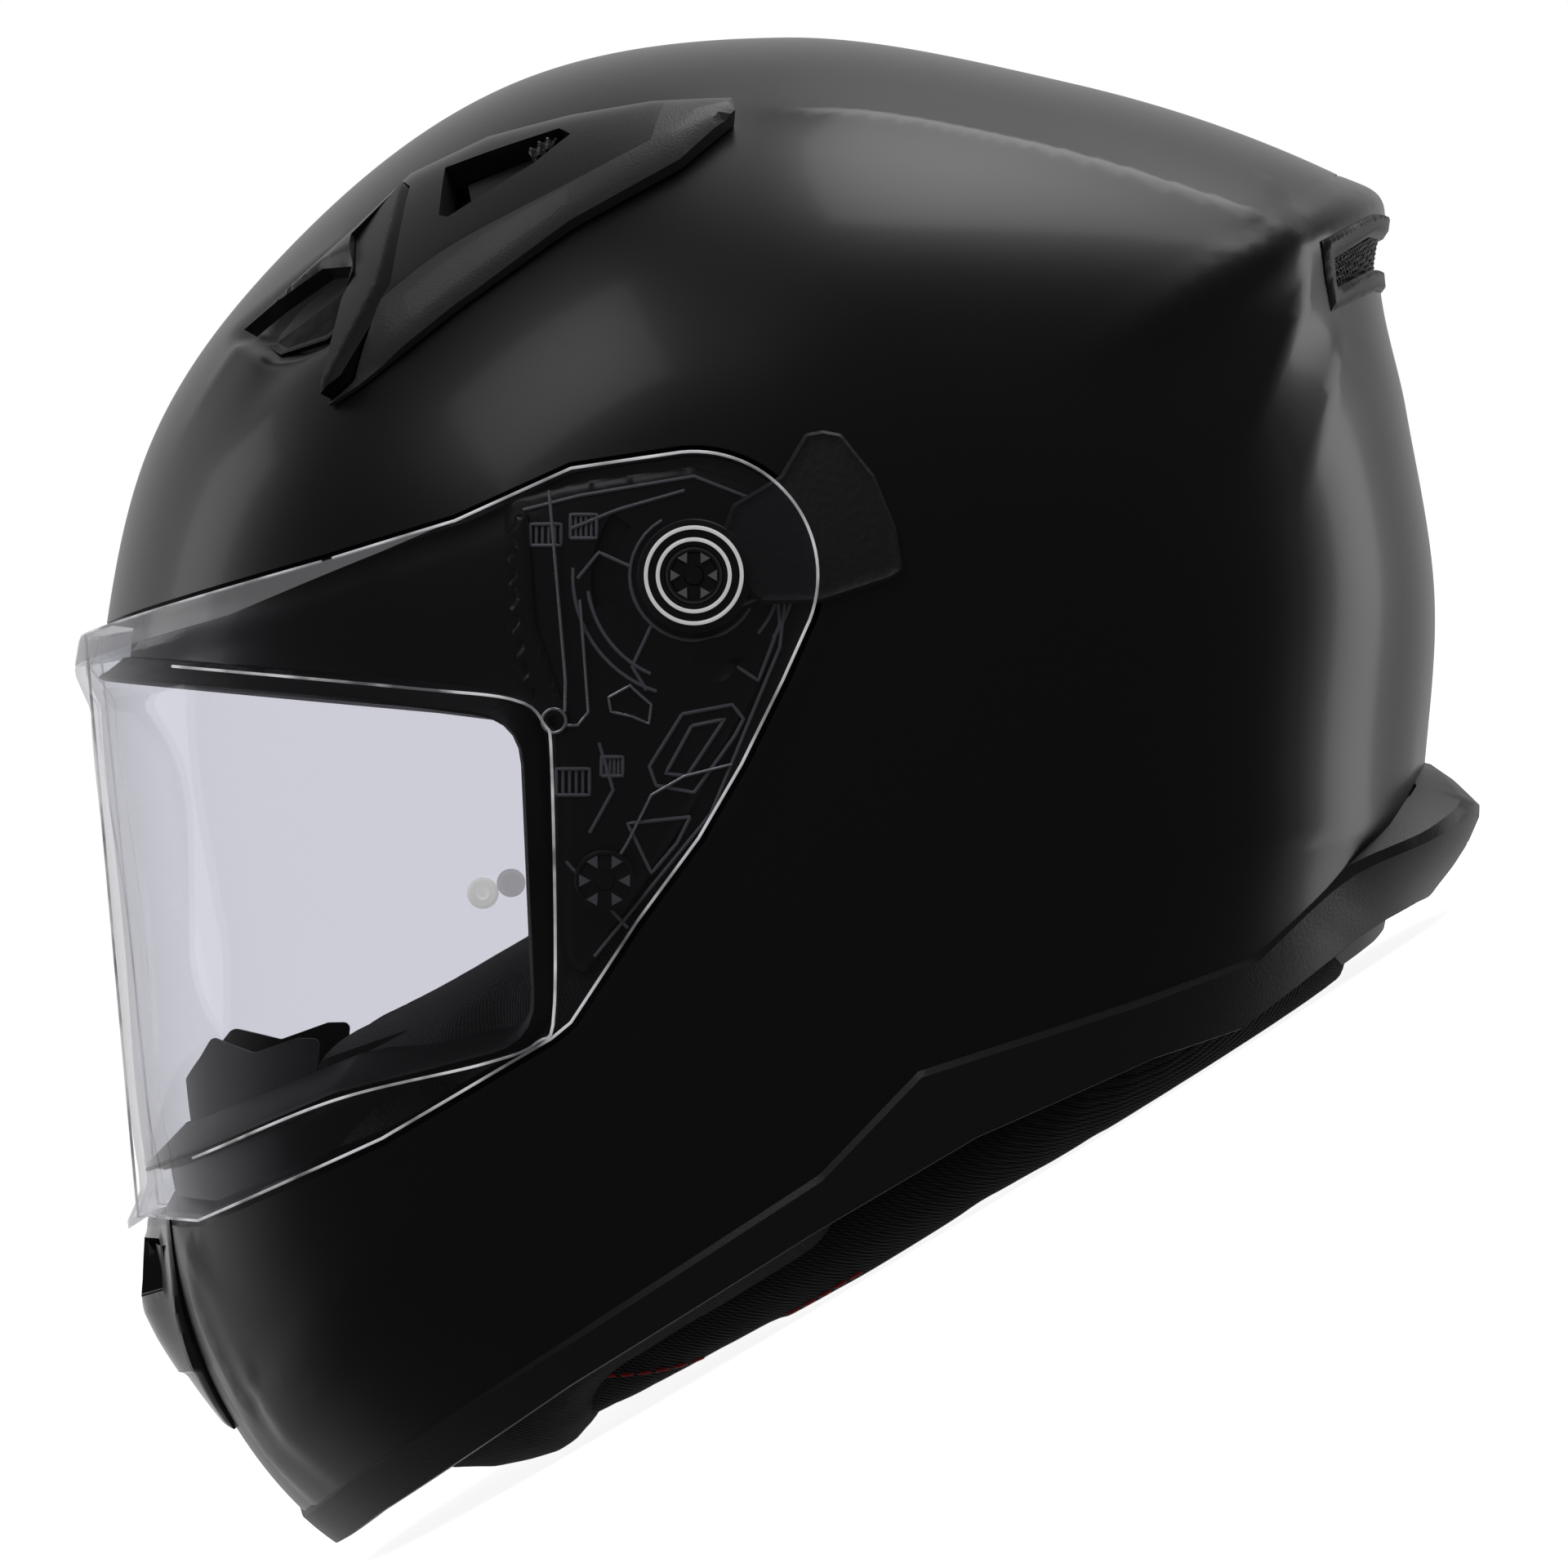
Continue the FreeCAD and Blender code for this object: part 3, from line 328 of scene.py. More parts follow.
def grown(loop, amount):
    """Closed outline moved outwards by an amount, or inwards if it is negative."""
    points = np.array(loop, float)
    area = np.sum(points[:, 0] * np.roll(points[:, 1], -1) - np.roll(points[:, 0], -1) * points[:, 1])
    ahead = np.roll(points, -1, 0) - points
    ahead /= np.linalg.norm(ahead, axis=1)[:, None]
    behind = np.roll(ahead, 1, 0)
    tangent = ahead + behind
    tangent /= np.linalg.norm(tangent, axis=1)[:, None]
    normal = np.stack([tangent[:, 1], -tangent[:, 0]], -1) * (1 if area > 0 else -1)
    stretch = 1 / np.maximum(0.5, np.sum(tangent * ahead, 1))
    return points + normal * (amount * stretch)[:, None]


def reach_to(places, path, closed=False):
    """Distance from each place to a path, how far along it (0 to 1), and the side (+1 is left)."""
    path = np.asarray(path, float)
    ends = np.vstack([path, path[:1]]) if closed else path
    start, along = ends[:-1], np.diff(ends, axis=0)
    length = np.linalg.norm(along, axis=1)
    done = np.concatenate([[0], np.cumsum(length)])
    best = np.full(len(places), np.inf)
    share = np.zeros(len(places))
    hand = np.ones(len(places))
    for index in range(len(start)):
        to = places - start[index]
        t = np.clip(to @ along[index] / max(length[index] ** 2, 1e-9), 0, 1)
        away = to - t[:, None] * along[index]
        distance = np.hypot(away[:, 0], away[:, 1])
        nearer = distance < best
        best[nearer] = distance[nearer]
        share[nearer] = (done[index] + t * length[index])[nearer] / done[-1]
        cross = along[index][0] * to[:, 1] - along[index][1] * to[:, 0]
        hand[nearer] = np.where(cross[nearer] >= 0, 1, -1)
    return best, share, hand


def inside(places, loop):
    """True for each place inside a closed outline."""
    loop = np.asarray(loop, float)
    result = np.zeros(len(places), bool)
    for (y0, z0), (y1, z1) in zip(loop, np.roll(loop, -1, 0)):
        if z0 == z1:
            continue
        crossed = (z0 > places[:, 1]) != (z1 > places[:, 1])
        result ^= crossed & (places[:, 0] < (y1 - y0) * (places[:, 1] - z0) / (z1 - z0) + y0)
    return result


def depth_in(places, loop):
    """Distance to a closed outline, positive inside it."""
    distance = reach_to(places, loop, True)[0]
    return np.where(inside(places, loop), distance, -distance)


def flattened(places):
    """Millimetres on the shell's map, where distances are nearly true."""
    return to_map(places, 0) * HALF_WIDTH


def ridge(places, path, height, width, fade=(0.0, 1.0)):
    """Soft crest along a path that fades out towards its ends as fade says."""
    distance, share, _ = reach_to(places, path)
    crest = np.exp(-(np.sqrt(distance**2 + 0.5) - 0.7) / width)
    fading = smooth_step(share, 0, max(fade[0], 1e-3)) * (1 - smooth_step(share, min(fade[1], 0.999), 1))
    return height * crest * fading


def lens_outline():
    return LENS_TOP + arc((0, 0), LENS_EAR, 96, -21, 30) + LENS_BACK


LENS_LOOP = spread(lens_outline(), 2.5, True)
EYEPORT_LOOP = spread(rounded(EYEPORT, 11), 2.5, True)


def band_below(line, lower):
    """Closed outline between two lines that both run from the chin to the nape, past the middle plane."""
    first, last = line[0], line[-1]
    low_first, low_last = lower[0], lower[-1]
    return (list(line) + [(last[0] + 30, last[1] + 8), (low_last[0] + 30, low_last[1] + 2)] + list(lower)[::-1]
            + [(low_first[0] - 30, low_first[1] - 25), (first[0] - 30, first[1] - 12)])


# ---------------------------------------------------------------- meshes on the skin
def triangulated(loops, paths, grid_step, wanted):
    """Flat points and triangles: edges along closed loops and open paths, an even grid between them.

    wanted tells which places are kept."""
    points = []
    edges = []
    for path, closed in [(loop, True) for loop in loops] + [(path, False) for path in paths]:
        first = len(points)
        count = len(path)
        points.extend(path)
        edges.extend((first + i, first + (i + 1) % count) for i in range(count if closed else count - 1))
    tree = kdtree.KDTree(len(points))
    for index, point in enumerate(points):
        tree.insert((point[0], point[1], 0), index)
    tree.balance()
    low = np.min(points, 0)
    high = np.max(points, 0)
    grid = np.array([(u + (row % 2) * grid_step / 2, v)
                     for row, v in enumerate(np.arange(low[1], high[1], grid_step * 0.866))
                     for u in np.arange(low[0], high[0], grid_step)]).reshape(-1, 2)
    grid = grid[wanted(grid)]
    points += [point for point in grid if tree.find((point[0], point[1], 0))[2] > 0.55 * grid_step]
    found = geometry.delaunay_2d_cdt([Vector((point[0], point[1])) for point in points], edges, [], 0, 1e-5)
    corners = np.array([(v.x, v.y) for v in found[0]])
    faces = np.array([face for face in found[2] if len(face) == 3])
    faces = faces[wanted(corners[faces].mean(1))]
    used, where = np.unique(faces, return_inverse=True)
    return corners[used], where.reshape(-1, 3)


def half_sheet(outer, holes, lines, offset, spacing):
    """Map points and triangles of the wearer's left inside an outline, with edges along lines."""
    step = spacing * HALF_WIDTH
    outer = spread(outer, step, True)
    holes = [spread(hole, step, True) for hole in holes]
    loops = [to_map(loop, offset) for loop in [outer] + holes]
    paths = [to_map(spread(line, step, False), offset) for line in lines]
    if max(np.hypot(loop[:, 0], loop[:, 1]).max() for loop in loops) > MIDDLE:
        angles = np.linspace(0, FULL_TURN, int(FULL_TURN * MIDDLE / spacing), endpoint=False)
        loops.append(np.stack([MIDDLE * np.cos(angles), MIDDLE * np.sin(angles)], -1))

    def wanted(map_points):
        turn, out = from_map(map_points)
        places = side_place(turn, out, offset)
        keep = inside(places, outer) & (np.hypot(map_points[:, 0], map_points[:, 1]) < MIDDLE)
        for hole in holes:
            keep &= ~inside(places, hole)
        return keep

    return triangulated(loops, paths, spacing, wanted)


def closed_shape(upper, lower, faces, middle, both):
    """Vertices and faces of a piece between two sheets; walls all round but on the middle plane."""
    upper[middle, 0] = 0
    lower[middle, 0] = 0
    count = len(upper)
    directed = {pair for a, b, c in faces.tolist() for pair in ((a, b), (b, c), (c, a))}
    walls = [(b, a, a + count, b + count) for a, b in sorted(directed)
             if (b, a) not in directed and not (middle[a] and middle[b])]
    all_faces = faces.tolist() + [(c + count, b + count, a + count) for a, b, c in faces.tolist()] + walls
    shape = (np.vstack([upper, lower]), all_faces)
    return joined([shape, mirrored(shape)]) if both else shape


def slab(outer, holes, lines, offset, spacing, top, bottom, both, pole_power=POLE_POWER):
    """Closed piece between two offsets of the skin, each a function of the places in the side view.

    It returns vertices in millimetres and faces. With both, the piece goes on across the middle plane."""
    corners, faces = half_sheet(outer, holes, lines, offset, spacing)
    turn, out = from_map(corners)
    places = side_place(turn, out, offset)
    upper = skin(turn, out, top(places), pole_power)
    lower = skin(turn, out, bottom(places), pole_power)
    middle = np.hypot(corners[:, 0], corners[:, 1]) > MIDDLE - 1e-4
    return closed_shape(upper, lower, faces, middle, both)


def front_slab(outer, holes, lines, step, top, bottom):
    """Like slab, for a piece across the chin: outlines are (x, z) with x from 0, and it is mirrored."""
    outer = spread(outer, step, True)
    holes = [spread(hole, step, True) for hole in holes]

    def wanted(places):
        keep = inside(places, outer) & (places[:, 0] > 0)
        for hole in holes:
            keep &= ~inside(places, hole)
        return keep

    corners, faces = triangulated([outer] + holes, [spread(line, step, False) for line in lines], step, wanted)
    across, height = corners[:, 0], corners[:, 1]
    return closed_shape(off_the_chin(across, height, top(corners)), off_the_chin(across, height, bottom(corners)),
                        faces, across < 1e-3, True)


def mirrored(shape):
    points, faces = shape
    return points * np.array([-1, 1, 1]), [tuple(face[::-1]) for face in faces]


def level(value):
    return lambda places: np.full(len(places), float(value))


def make_piece(name, shape, body, material, sharp=35.0, nodes=()):
    """Object from worn millimetres, welded, smooth with sharp edges, riding on a body."""
    points, faces = shape
    mesh = bpy.data.meshes.new(name)
    mesh.from_pydata(placed(points).tolist(), [], [tuple(int(i) for i in face) for face in faces])
    work = bmesh.new()
    work.from_mesh(mesh)
    seam = [v for v, point in zip(work.verts, points) if abs(point[0]) < 1e-3]
    if seam:
        bmesh.ops.remove_doubles(work, verts=seam, dist=2e-5)
    bmesh.ops.dissolve_degenerate(work, dist=1e-7, edges=work.edges)
    for face in work.faces:
        face.smooth = True
    for edge in work.edges:
        edge.smooth = len(edge.link_faces) == 2 and edge.calc_face_angle(0) < math.radians(sharp)
    work.to_mesh(mesh)
    work.free()
    return finish_piece(bpy.data.objects.new(name, mesh), body, material, nodes)


def finish_piece(piece, body, material, nodes=()):
    bpy.context.scene.collection.objects.link(piece)
    piece.data.materials.append(material)
    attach(piece, body)
    if nodes:
        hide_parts(*nodes)
    return piece


def wires(name, paths, radius, body, material, nodes=(), cyclic=False):
    """Round wires along paths (worn millimetres), as one curve object."""
    curve = bpy.data.curves.new(name, "CURVE")
    curve.dimensions = "3D"
    curve.bevel_depth = radius * 0.001
    curve.bevel_resolution = 2
    curve.use_fill_caps = True
    for path in paths:
        points = placed(np.asarray(path, float))
        spline = curve.splines.new("POLY")
        spline.points.add(len(points) - 1)
        spline.points.foreach_set("co", np.hstack([points, np.ones((len(points), 1))]).ravel())
        spline.use_cyclic_u = cyclic
        spline.use_smooth = True
    return finish_piece(bpy.data.objects.new(name, curve), body, material, nodes)


def turned(profile, centre, count=48, side=1):
    """Lathe about a line along X through centre (y, z); profile is (x, radius), closed round."""
    points = []
    faces = []
    rows = len(profile)
    for step in range(count):
        angle = FULL_TURN * step / count
        for x, radius in profile:
            points.append((side * x, centre[0] + radius * math.cos(angle), centre[1] + radius * math.sin(angle)))
    for step in range(count):
        following = (step + 1) % count
        for row in range(rows):
            after = (row + 1) % rows
            face = (step * rows + row, following * rows + row, following * rows + after, step * rows + after)
            faces.append(face if side > 0 else face[::-1])
    return np.array(points), faces


def joined(shapes):
    points = []
    faces = []
    for shape_points, shape_faces in shapes:
        first = sum(len(p) for p in points)
        points.append(np.asarray(shape_points, float))
        faces += [tuple(i + first for i in face) for face in shape_faces]
    return np.vstack(points), faces


# ---------------------------------------------------------------- materials
class Value:
    """A number socket that takes part in Python arithmetic by adding Math nodes."""

    def __init__(self, finish, socket):
        self.finish = finish
        self.socket = socket

    def maths(self, operation, *others):
        settings = {"operation": operation}
        inputs = {0: self}
        for index, other in enumerate(others):
            inputs[index + 1] = other
        return self.finish.node("ShaderNodeMath", settings, inputs)[0]

    def __add__(self, other):
        return self.maths("ADD", other)

    def __mul__(self, other):
        return self.maths("MULTIPLY", other)

    def __sub__(self, other):
        return self.maths("SUBTRACT", other)

    def __rsub__(self, other):
        return (self * -1.0) + other

    def __pow__(self, other):
        return self.maths("POWER", other)

    __radd__ = __add__
    __rmul__ = __mul__

    def sine(self):
        return self.maths("SINE")

    def absolute(self):
        return self.maths("ABSOLUTE")

    def limited(self, low, high):
        return self.maths("MAXIMUM", low).maths("MINIMUM", high)

    def above(self, edge):
        return self.maths("GREATER_THAN", edge)


class Finish:
    """A material under construction: one principled surface and the nodes that feed it."""

    def __init__(self, name, color, roughness, **sockets):
        self.material = bpy.data.materials.new(name)
        self.material.use_nodes = True
        self.tree = self.material.node_tree
        self.surface = self.tree.nodes["Principled BSDF"]
        self.output = self.tree.nodes["Material Output"]
        self.surface.inputs["Base Color"].default_value = (*color, 1)
        self.surface.inputs["Roughness"].default_value = roughness
        for socket, value in sockets.items():
            self.surface.inputs[socket.replace("_", " ")].default_value = value
        self.material.diffuse_color = (*color, 1)

    def node(self, kind, settings, inputs):
        """Adds a node: settings first, then the values or links of its sockets. Returns its outputs."""
        node = self.tree.nodes.new(kind)
        for name, value in settings.items():
            if name == "stops":
                for index, (place, shade) in enumerate(value):
                    stop = node.color_ramp.elements[index] if index < 2 else node.color_ramp.elements.new(place)
                    stop.position = place
                    stop.color = (*shade, 1) if isinstance(shade, tuple) else (shade, shade, shade, 1)
            else:
                setattr(node, name, value)
        for key, value in inputs.items():
            if isinstance(value, Value):
                self.tree.links.new(value.socket, node.inputs[key])
            else:
                node.inputs[key].default_value = value
        return [Value(self, socket) for socket in node.outputs]

    def place(self):
        """Object coordinates as a vector socket."""
        return self.node("ShaderNodeTexCoord", {}, {})[3]

    def parts(self, vector):
        return self.node("ShaderNodeSeparateXYZ", {}, {0: vector})

    def noise(self, scale, detail=2.0, vector=None):
        inputs = {"Vector": vector or self.place(), "Scale": scale, "Detail": detail}
        return self.node("ShaderNodeTexNoise", {}, inputs)[0]

    def cells(self, scale, feature="F1", randomness=1.0):
        inputs = {"Vector": self.place(), "Scale": scale, "Randomness": randomness}
        return self.node("ShaderNodeTexVoronoi", {"feature": feature}, inputs)[0]

    def ramp(self, value, stops):
        return self.node("ShaderNodeValToRGB", {"stops": stops}, {0: value})[0]

    def feed(self, socket, value):
        self.tree.links.new(value.socket, self.surface.inputs[socket])

    def bump(self, height, strength, distance):
        normal = self.node("ShaderNodeBump", {}, {"Strength": strength, "Distance": distance, "Height": height})[0]
        self.feed("Normal", normal)

    def glassy(self, clear, gloss, steepness, base):
        """Thin clear sheet: what is behind shows, with a glossy reflection that grows towards the edge."""
        through = self.node("ShaderNodeBsdfTransparent", {}, {0: (*clear, 1)})[0]
        shine = self.node("ShaderNodeBsdfAnisotropic", {}, {"Color": (1, 1, 1, 1), "Roughness": gloss})[0]
        facing = self.node("ShaderNodeLayerWeight", {}, {"Blend": 0.5})[1]
        factor = (facing ** steepness * 0.85 + base).limited(0.0, 1.0)
        mixed = self.node("ShaderNodeMixShader", {}, {0: factor, 1: through, 2: shine})[0]
        self.tree.links.new(mixed.socket, self.output.inputs["Surface"])


def plastic(name, color, roughness, grain_scale, grain_height, wander=0.06, **sockets):
    """Moulded plastic: fine grain, and gloss that wanders slightly."""
    finish = Finish(name, color, roughness, **sockets)
    cloud = finish.noise(28.0, 3.0)
    finish.feed("Roughness", cloud * (2 * wander) + (roughness - wander))
    finish.bump(finish.noise(grain_scale, 2.0), 0.5, grain_height)
    return finish.material


def woven(name, color, light, threads, height, roughness=0.9, sheen=0.25):
    """Cloth of crossing threads, worked out from the object's own place, with slight fuzz."""
    finish = Finish(name, color, roughness, Sheen_Weight=sheen, Sheen_Roughness=0.5)
    x, y, z = finish.parts(finish.place())
    warp = ((x + y * 0.55) * threads).sine()
    weft = ((z + y * 0.8) * threads).sine()
    basket = (warp * weft).absolute()
    fuzz = finish.noise(900.0, 3.0)
    shade = finish.ramp(basket * 0.8 + fuzz * 0.35, [(0.1, color), (0.95, light)])
    finish.feed("Base Color", shade)
    finish.bump(basket + fuzz * 0.3, 0.9, height)
    return finish.material


def make_finishes(colours):
    """All materials by name."""
    shell = Finish("shell_satin_black", tuple(colours.shell), 0.34, Coat_Weight=0.18, Coat_Roughness=0.12)
    cloud = shell.noise(14.0, 3.0)
    shell.feed("Roughness", cloud * 0.06 + 0.31)
    shell.bump(shell.noise(1400.0, 2.0), 0.12, 0.00005)
    foam = Finish("foam_beads", (0.018, 0.018, 0.019), 0.8)
    beads = foam.cells(260.0)
    foam.feed("Base Color", foam.ramp(beads, [(0.0, (0.03, 0.03, 0.032)), (0.9, (0.008, 0.008, 0.009))]))
    foam.bump(1 - beads, 0.8, 0.0006)
    webbing = Finish("strap_webbing", (0.012, 0.012, 0.013), 0.75, Sheen_Weight=0.2)
    x, y, z = webbing.parts(webbing.place())
    ribs = ((x + z) * 4200.0).sine() * ((y * 3000.0).sine().absolute() * 0.5 + 0.5)
    webbing.feed("Base Color", webbing.ramp(ribs, [(0.2, (0.006, 0.006, 0.007)), (0.9, (0.022, 0.022, 0.024))]))
    webbing.bump(ribs, 0.8, 0.0004)
    steel = Finish("spring_steel", (0.8, 0.8, 0.82), 0.28, Metallic=0.8)
    steel.feed("Roughness", steel.noise(300.0) * 0.2 + 0.18)
    lens = Finish("clear_polycarbonate", (0.9, 0.9, 0.93), 0.03)
    lens.glassy(tuple(colours.lens), 0.03, 5.0, 0.02)
    smoke = Finish("smoke_polycarbonate", (0.05, 0.05, 0.055), 0.05)
    smoke.glassy((0.16, 0.16, 0.18), 0.05, 4.0, 0.03)
    # Painted highlight: the clear hub plastic glows white and is mottled bright, standing in for the shine on the hub
    # beads and insert pins.
    hub = Finish("hub_plastic_painted_glow", (0.75, 0.75, 0.8), 0.12, Coat_Weight=0.5, Coat_Roughness=0.05)
    hub.surface.inputs["Emission Color"].default_value = (1, 1, 1, 1)
    hub.surface.inputs["Emission Strength"].default_value = 0.35
    hub.feed("Base Color", hub.ramp(hub.noise(120.0), [(0.3, (0.5, 0.5, 0.53)), (0.7, (0.85, 0.85, 0.9))]))
    # Painted glints: a patchy light grey that also glows, standing in for the highlights along the lens's edges.
    edge = Finish("lens_edge_painted_glint", (0.55, 0.55, 0.58), 0.15, Coat_Weight=0.5)
    glint = edge.ramp(edge.noise(60.0, 3.0), [(0.35, (0.12, 0.12, 0.13)), (0.62, (0.9, 0.9, 0.93))])
    edge.feed("Base Color", glint)
    edge.feed("Emission Color", glint)
    edge.surface.inputs["Emission Strength"].default_value = 0.45
    # Painted highlight for the lens's brow bevel: a pale, patchy, half-transparent coat over the clear lens.
    painted_brow_sheen = Finish("brow_bevel_painted_sheen", (0.85, 0.85, 0.88), 0.2, Coat_Weight=0.3)
    painted_brow_sheen.feed("Alpha", painted_brow_sheen.noise(9.0, 3.0) * 0.5 + 0.12)
    thread = Finish("red_thread", tuple(colours.stitching), 0.7, Sheen_Weight=0.3)
    thread.bump(thread.noise(2600.0), 0.7, 0.0002)
    return {
        "shell": shell.material,
        "trim": plastic("trim_satin", (0.024, 0.024, 0.026), 0.42, 1500.0, 0.0001),
        "vent": plastic("vent_satin", (0.022, 0.022, 0.023), 0.36, 2200.0, 0.00008, Coat_Weight=0.1),
        # Lighter copy of the vent plastic for the cover's sloping lower facet: painted highlight.
        "wing": plastic("vent_facet_painted_light", (0.075, 0.075, 0.078), 0.42, 2200.0, 0.0002, Coat_Weight=0.1),
        # Near black: the inserts' own colour, and painted shade for the sheets in the scoop wells.
        "insert": plastic("insert_black_and_scoop_shade", (0.008, 0.008, 0.009), 0.3, 1500.0, 0.00005),
        "gloss": plastic("gloss_black", (0.006, 0.006, 0.007), 0.14, 900.0, 0.00003, 0.02, Coat_Weight=0.4),
        "mechanism": plastic("mechanism_black", (0.012, 0.012, 0.013), 0.3, 1200.0, 0.00006),
        # Light grey for the black mechanism's ribs, louvres and screw teeth: painted highlights along their edges.
        "rib_painted_light": plastic("rib_painted_highlight", (0.34, 0.34, 0.36), 0.25, 900.0, 0.00004, Coat_Weight=0.5),
        "lever": plastic("lever_grained", (0.03, 0.03, 0.032), 0.5, 620.0, 0.0004),
        "rubber": plastic("soft_rubber", (0.012, 0.012, 0.013), 0.5, 700.0, 0.0001, 0.08),
        "roll": woven("collar_basket_weave", (0.006, 0.006, 0.007), (0.028, 0.028, 0.03), 3600.0, 0.0007),
        "knit": woven("lining_knit", (0.008, 0.008, 0.009), (0.035, 0.035, 0.038), 5200.0, 0.0004, 0.95, 0.4),
        "suede": woven("suede_edge", (0.006, 0.006, 0.006), (0.015, 0.015, 0.016), 7000.0, 0.0001, 0.98, 0.5),
        "mesh_wire": plastic("mesh_wire", (0.05, 0.05, 0.052), 0.35, 900.0, 0.00003),
        "foam": foam.material,
        "webbing": webbing.material,
        "steel": steel.material,
        "lens": lens.material,
        "smoke": smoke.material,
        "hub": hub.material,
        "edge": edge.material,
        "painted_brow_sheen": painted_brow_sheen.material,
        "thread": thread.material,
        "red": plastic("buckle_red", (0.35, 0.012, 0.012), 0.25, 900.0, 0.00003, 0.04, Coat_Weight=0.3),
    }


FINISHES = {}


def dress(node, finish, bevel=0.0):
    """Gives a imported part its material, and an edge radius if one is asked for."""
    part = NODES[node]
    part.data.materials.clear()
    part.data.materials.append(FINISHES[finish])
    if bevel:
        edge = part.modifiers.new("edge_radius", "BEVEL")
        edge.width = bevel * 0.001
        edge.segments = 2
        edge.limit_method = "ANGLE"
        edge.angle_limit = math.radians(40)
        edge.harden_normals = True
        part.data.shade_smooth()


# ---------------------------------------------------------------- user settings
class HelmetSizes(bpy.types.PropertyGroup):
    fine: FloatProperty(name="Skin spacing", description="Mesh spacing on the shell", default=2.4, min=1.0, max=6.0)
    crease: FloatProperty(name="Crease height", description="Height of the shell's style lines", default=2.4,
                          min=0.0, max=5.0)
    stitch_length: FloatProperty(name="Stitch length", description="Length of one stitch", default=2.7,
                                 min=1.0, max=6.0)
    stitch_count: IntProperty(name="Stitches", description="Stitches along each side of the neck roll", default=17,
                              min=4, max=60)


class HelmetColours(bpy.types.PropertyGroup):
    shell: FloatVectorProperty(name="Shell", description="Shell colour", subtype="COLOR", size=3,
                               default=(0.0065, 0.0065, 0.0072), min=0, max=1)
    lens: FloatVectorProperty(name="Lens", description="Tint of the clear lens", subtype="COLOR", size=3,
                              default=(0.9, 0.9, 0.925), min=0, max=1)
    stitching: FloatVectorProperty(name="Stitching", description="Thread colour", subtype="COLOR", size=3,
                                   default=(0.6, 0.03, 0.035), min=0, max=1)


def sizes():
    return bpy.context.scene.helmet_sizes


def spacing(millimetres):
    """Map spacing of a mesh size."""
    return millimetres / HALF_WIDTH


# ---------------------------------------------------------------- shell
def shell_relief(places):
    """Height of the shell's style lines above the plain skin."""
    height = sizes().crease
    flat = flattened(places)
    relief = np.zeros(len(places))
    for path, share, width, fade in SHELL_CREASES:
        relief += ridge(flat, flattened(smoothed(path)), height * share, width, fade)
    hollow = flattened(np.array(BROW_CHANNEL) + np.array([7.0, -7.0]))
    distance, share, _ = reach_to(flat, hollow)
    return relief - 2.0 * np.exp(-(distance / 8.0) ** 2) * smooth_step(share, 0.1, 0.8)


# Path, share of the crease height, width and fades of every style line.
SHELL_CREASES = [
    (CROWN_CREASE, 1.0, 10.0, (0.3, 0.85)), (TAIL_CREASE, 0.7, 7.0, (0.15, 0.25)),
    (TAIL_EDGE, 0.45, 8.0, (0.2, 0.3)), (LOW_CREASE, 0.6, 10.0, (0.5, 0.9)),
    (CHIN_CREASE, 0.8, 8.0, (0.1, 0.7)), (CHEEK_CREASE, 0.8, 8.0, (0.05, 0.4)),
    (NOSE_CREASE, 0.8, 8.0, (0.15, 0.8)), (BROW_CHANNEL, 0.4, 6.0, (0.5, 0.9)),
]


class HELMET_OT_shell(bpy.types.Operator):
    """Outer shell with its style lines, the visor's bed and the vent wells"""
    bl_idname = "helmet.shell"
    bl_label = "Shell"

    def execute(self, context):
        edge = [(y, z + 5) for y, z in RIM]
        outer = edge + [(320, -43), (320, 320), (-320, 320), (-320, -206)]
        bed = [grown(LENS_LOOP, amount) for amount in (1.5, 1.1, 0.5)]
        window = spread(VENT_WINDOW, 2, True)
        scoop = spread(VENT_SCOOP, 2, True)
        lines = [smoothed(path) for path, *_ in SHELL_CREASES]
        lines += [np.array(corner) * np.array([[0.6], [1.3]]) for corner in SPOILER[1:]]
        lines += [np.vstack([loop, loop[:1]]) for loop in bed + [grown(window, 0.6)]]

        def top(places):
            in_bed = smooth_step(depth_in(places, LENS_LOOP), -1.5, -0.5)
            wells = smooth_step(depth_in(places, window), -0.6, 0.8) * 7
            wells += smooth_step(depth_in(places, scoop), -4.0, 3.0) * 5
            return shell_relief(places) * (1 - in_bed) - RECESS_DEPTH * in_bed - wells

        def bottom(places):
            return np.minimum(top(places) - 3.0, -3.9)

        holes = [grown(EYEPORT_LOOP, 2.4), REAR_VENT]
        shape = slab(outer, holes, lines, 0, spacing(sizes().fine), top, bottom, True)
        make_piece("shell", shape, "helmet", FINISHES["shell"], 38, ["outer_shell"])
        return {"FINISHED"}


def nape_lip(places):
    """Height of the duck tail that the base trim grows at the nape."""
    turn = np.degrees(np.arctan2(places[:, 1], places[:, 0]))
    height = np.interp(turn, [-29, -26, -23.9, -22.2, -20.3, -18.5, -16.5, -15.7, -13.4],
                       [0, 1.0, 2.6, 5.0, 8.0, 10.4, 12.2, 12.0, 0.4])
    _, out = turn_and_out(places, 0)
    return height * smooth_step(out, 0.80, 0.965)


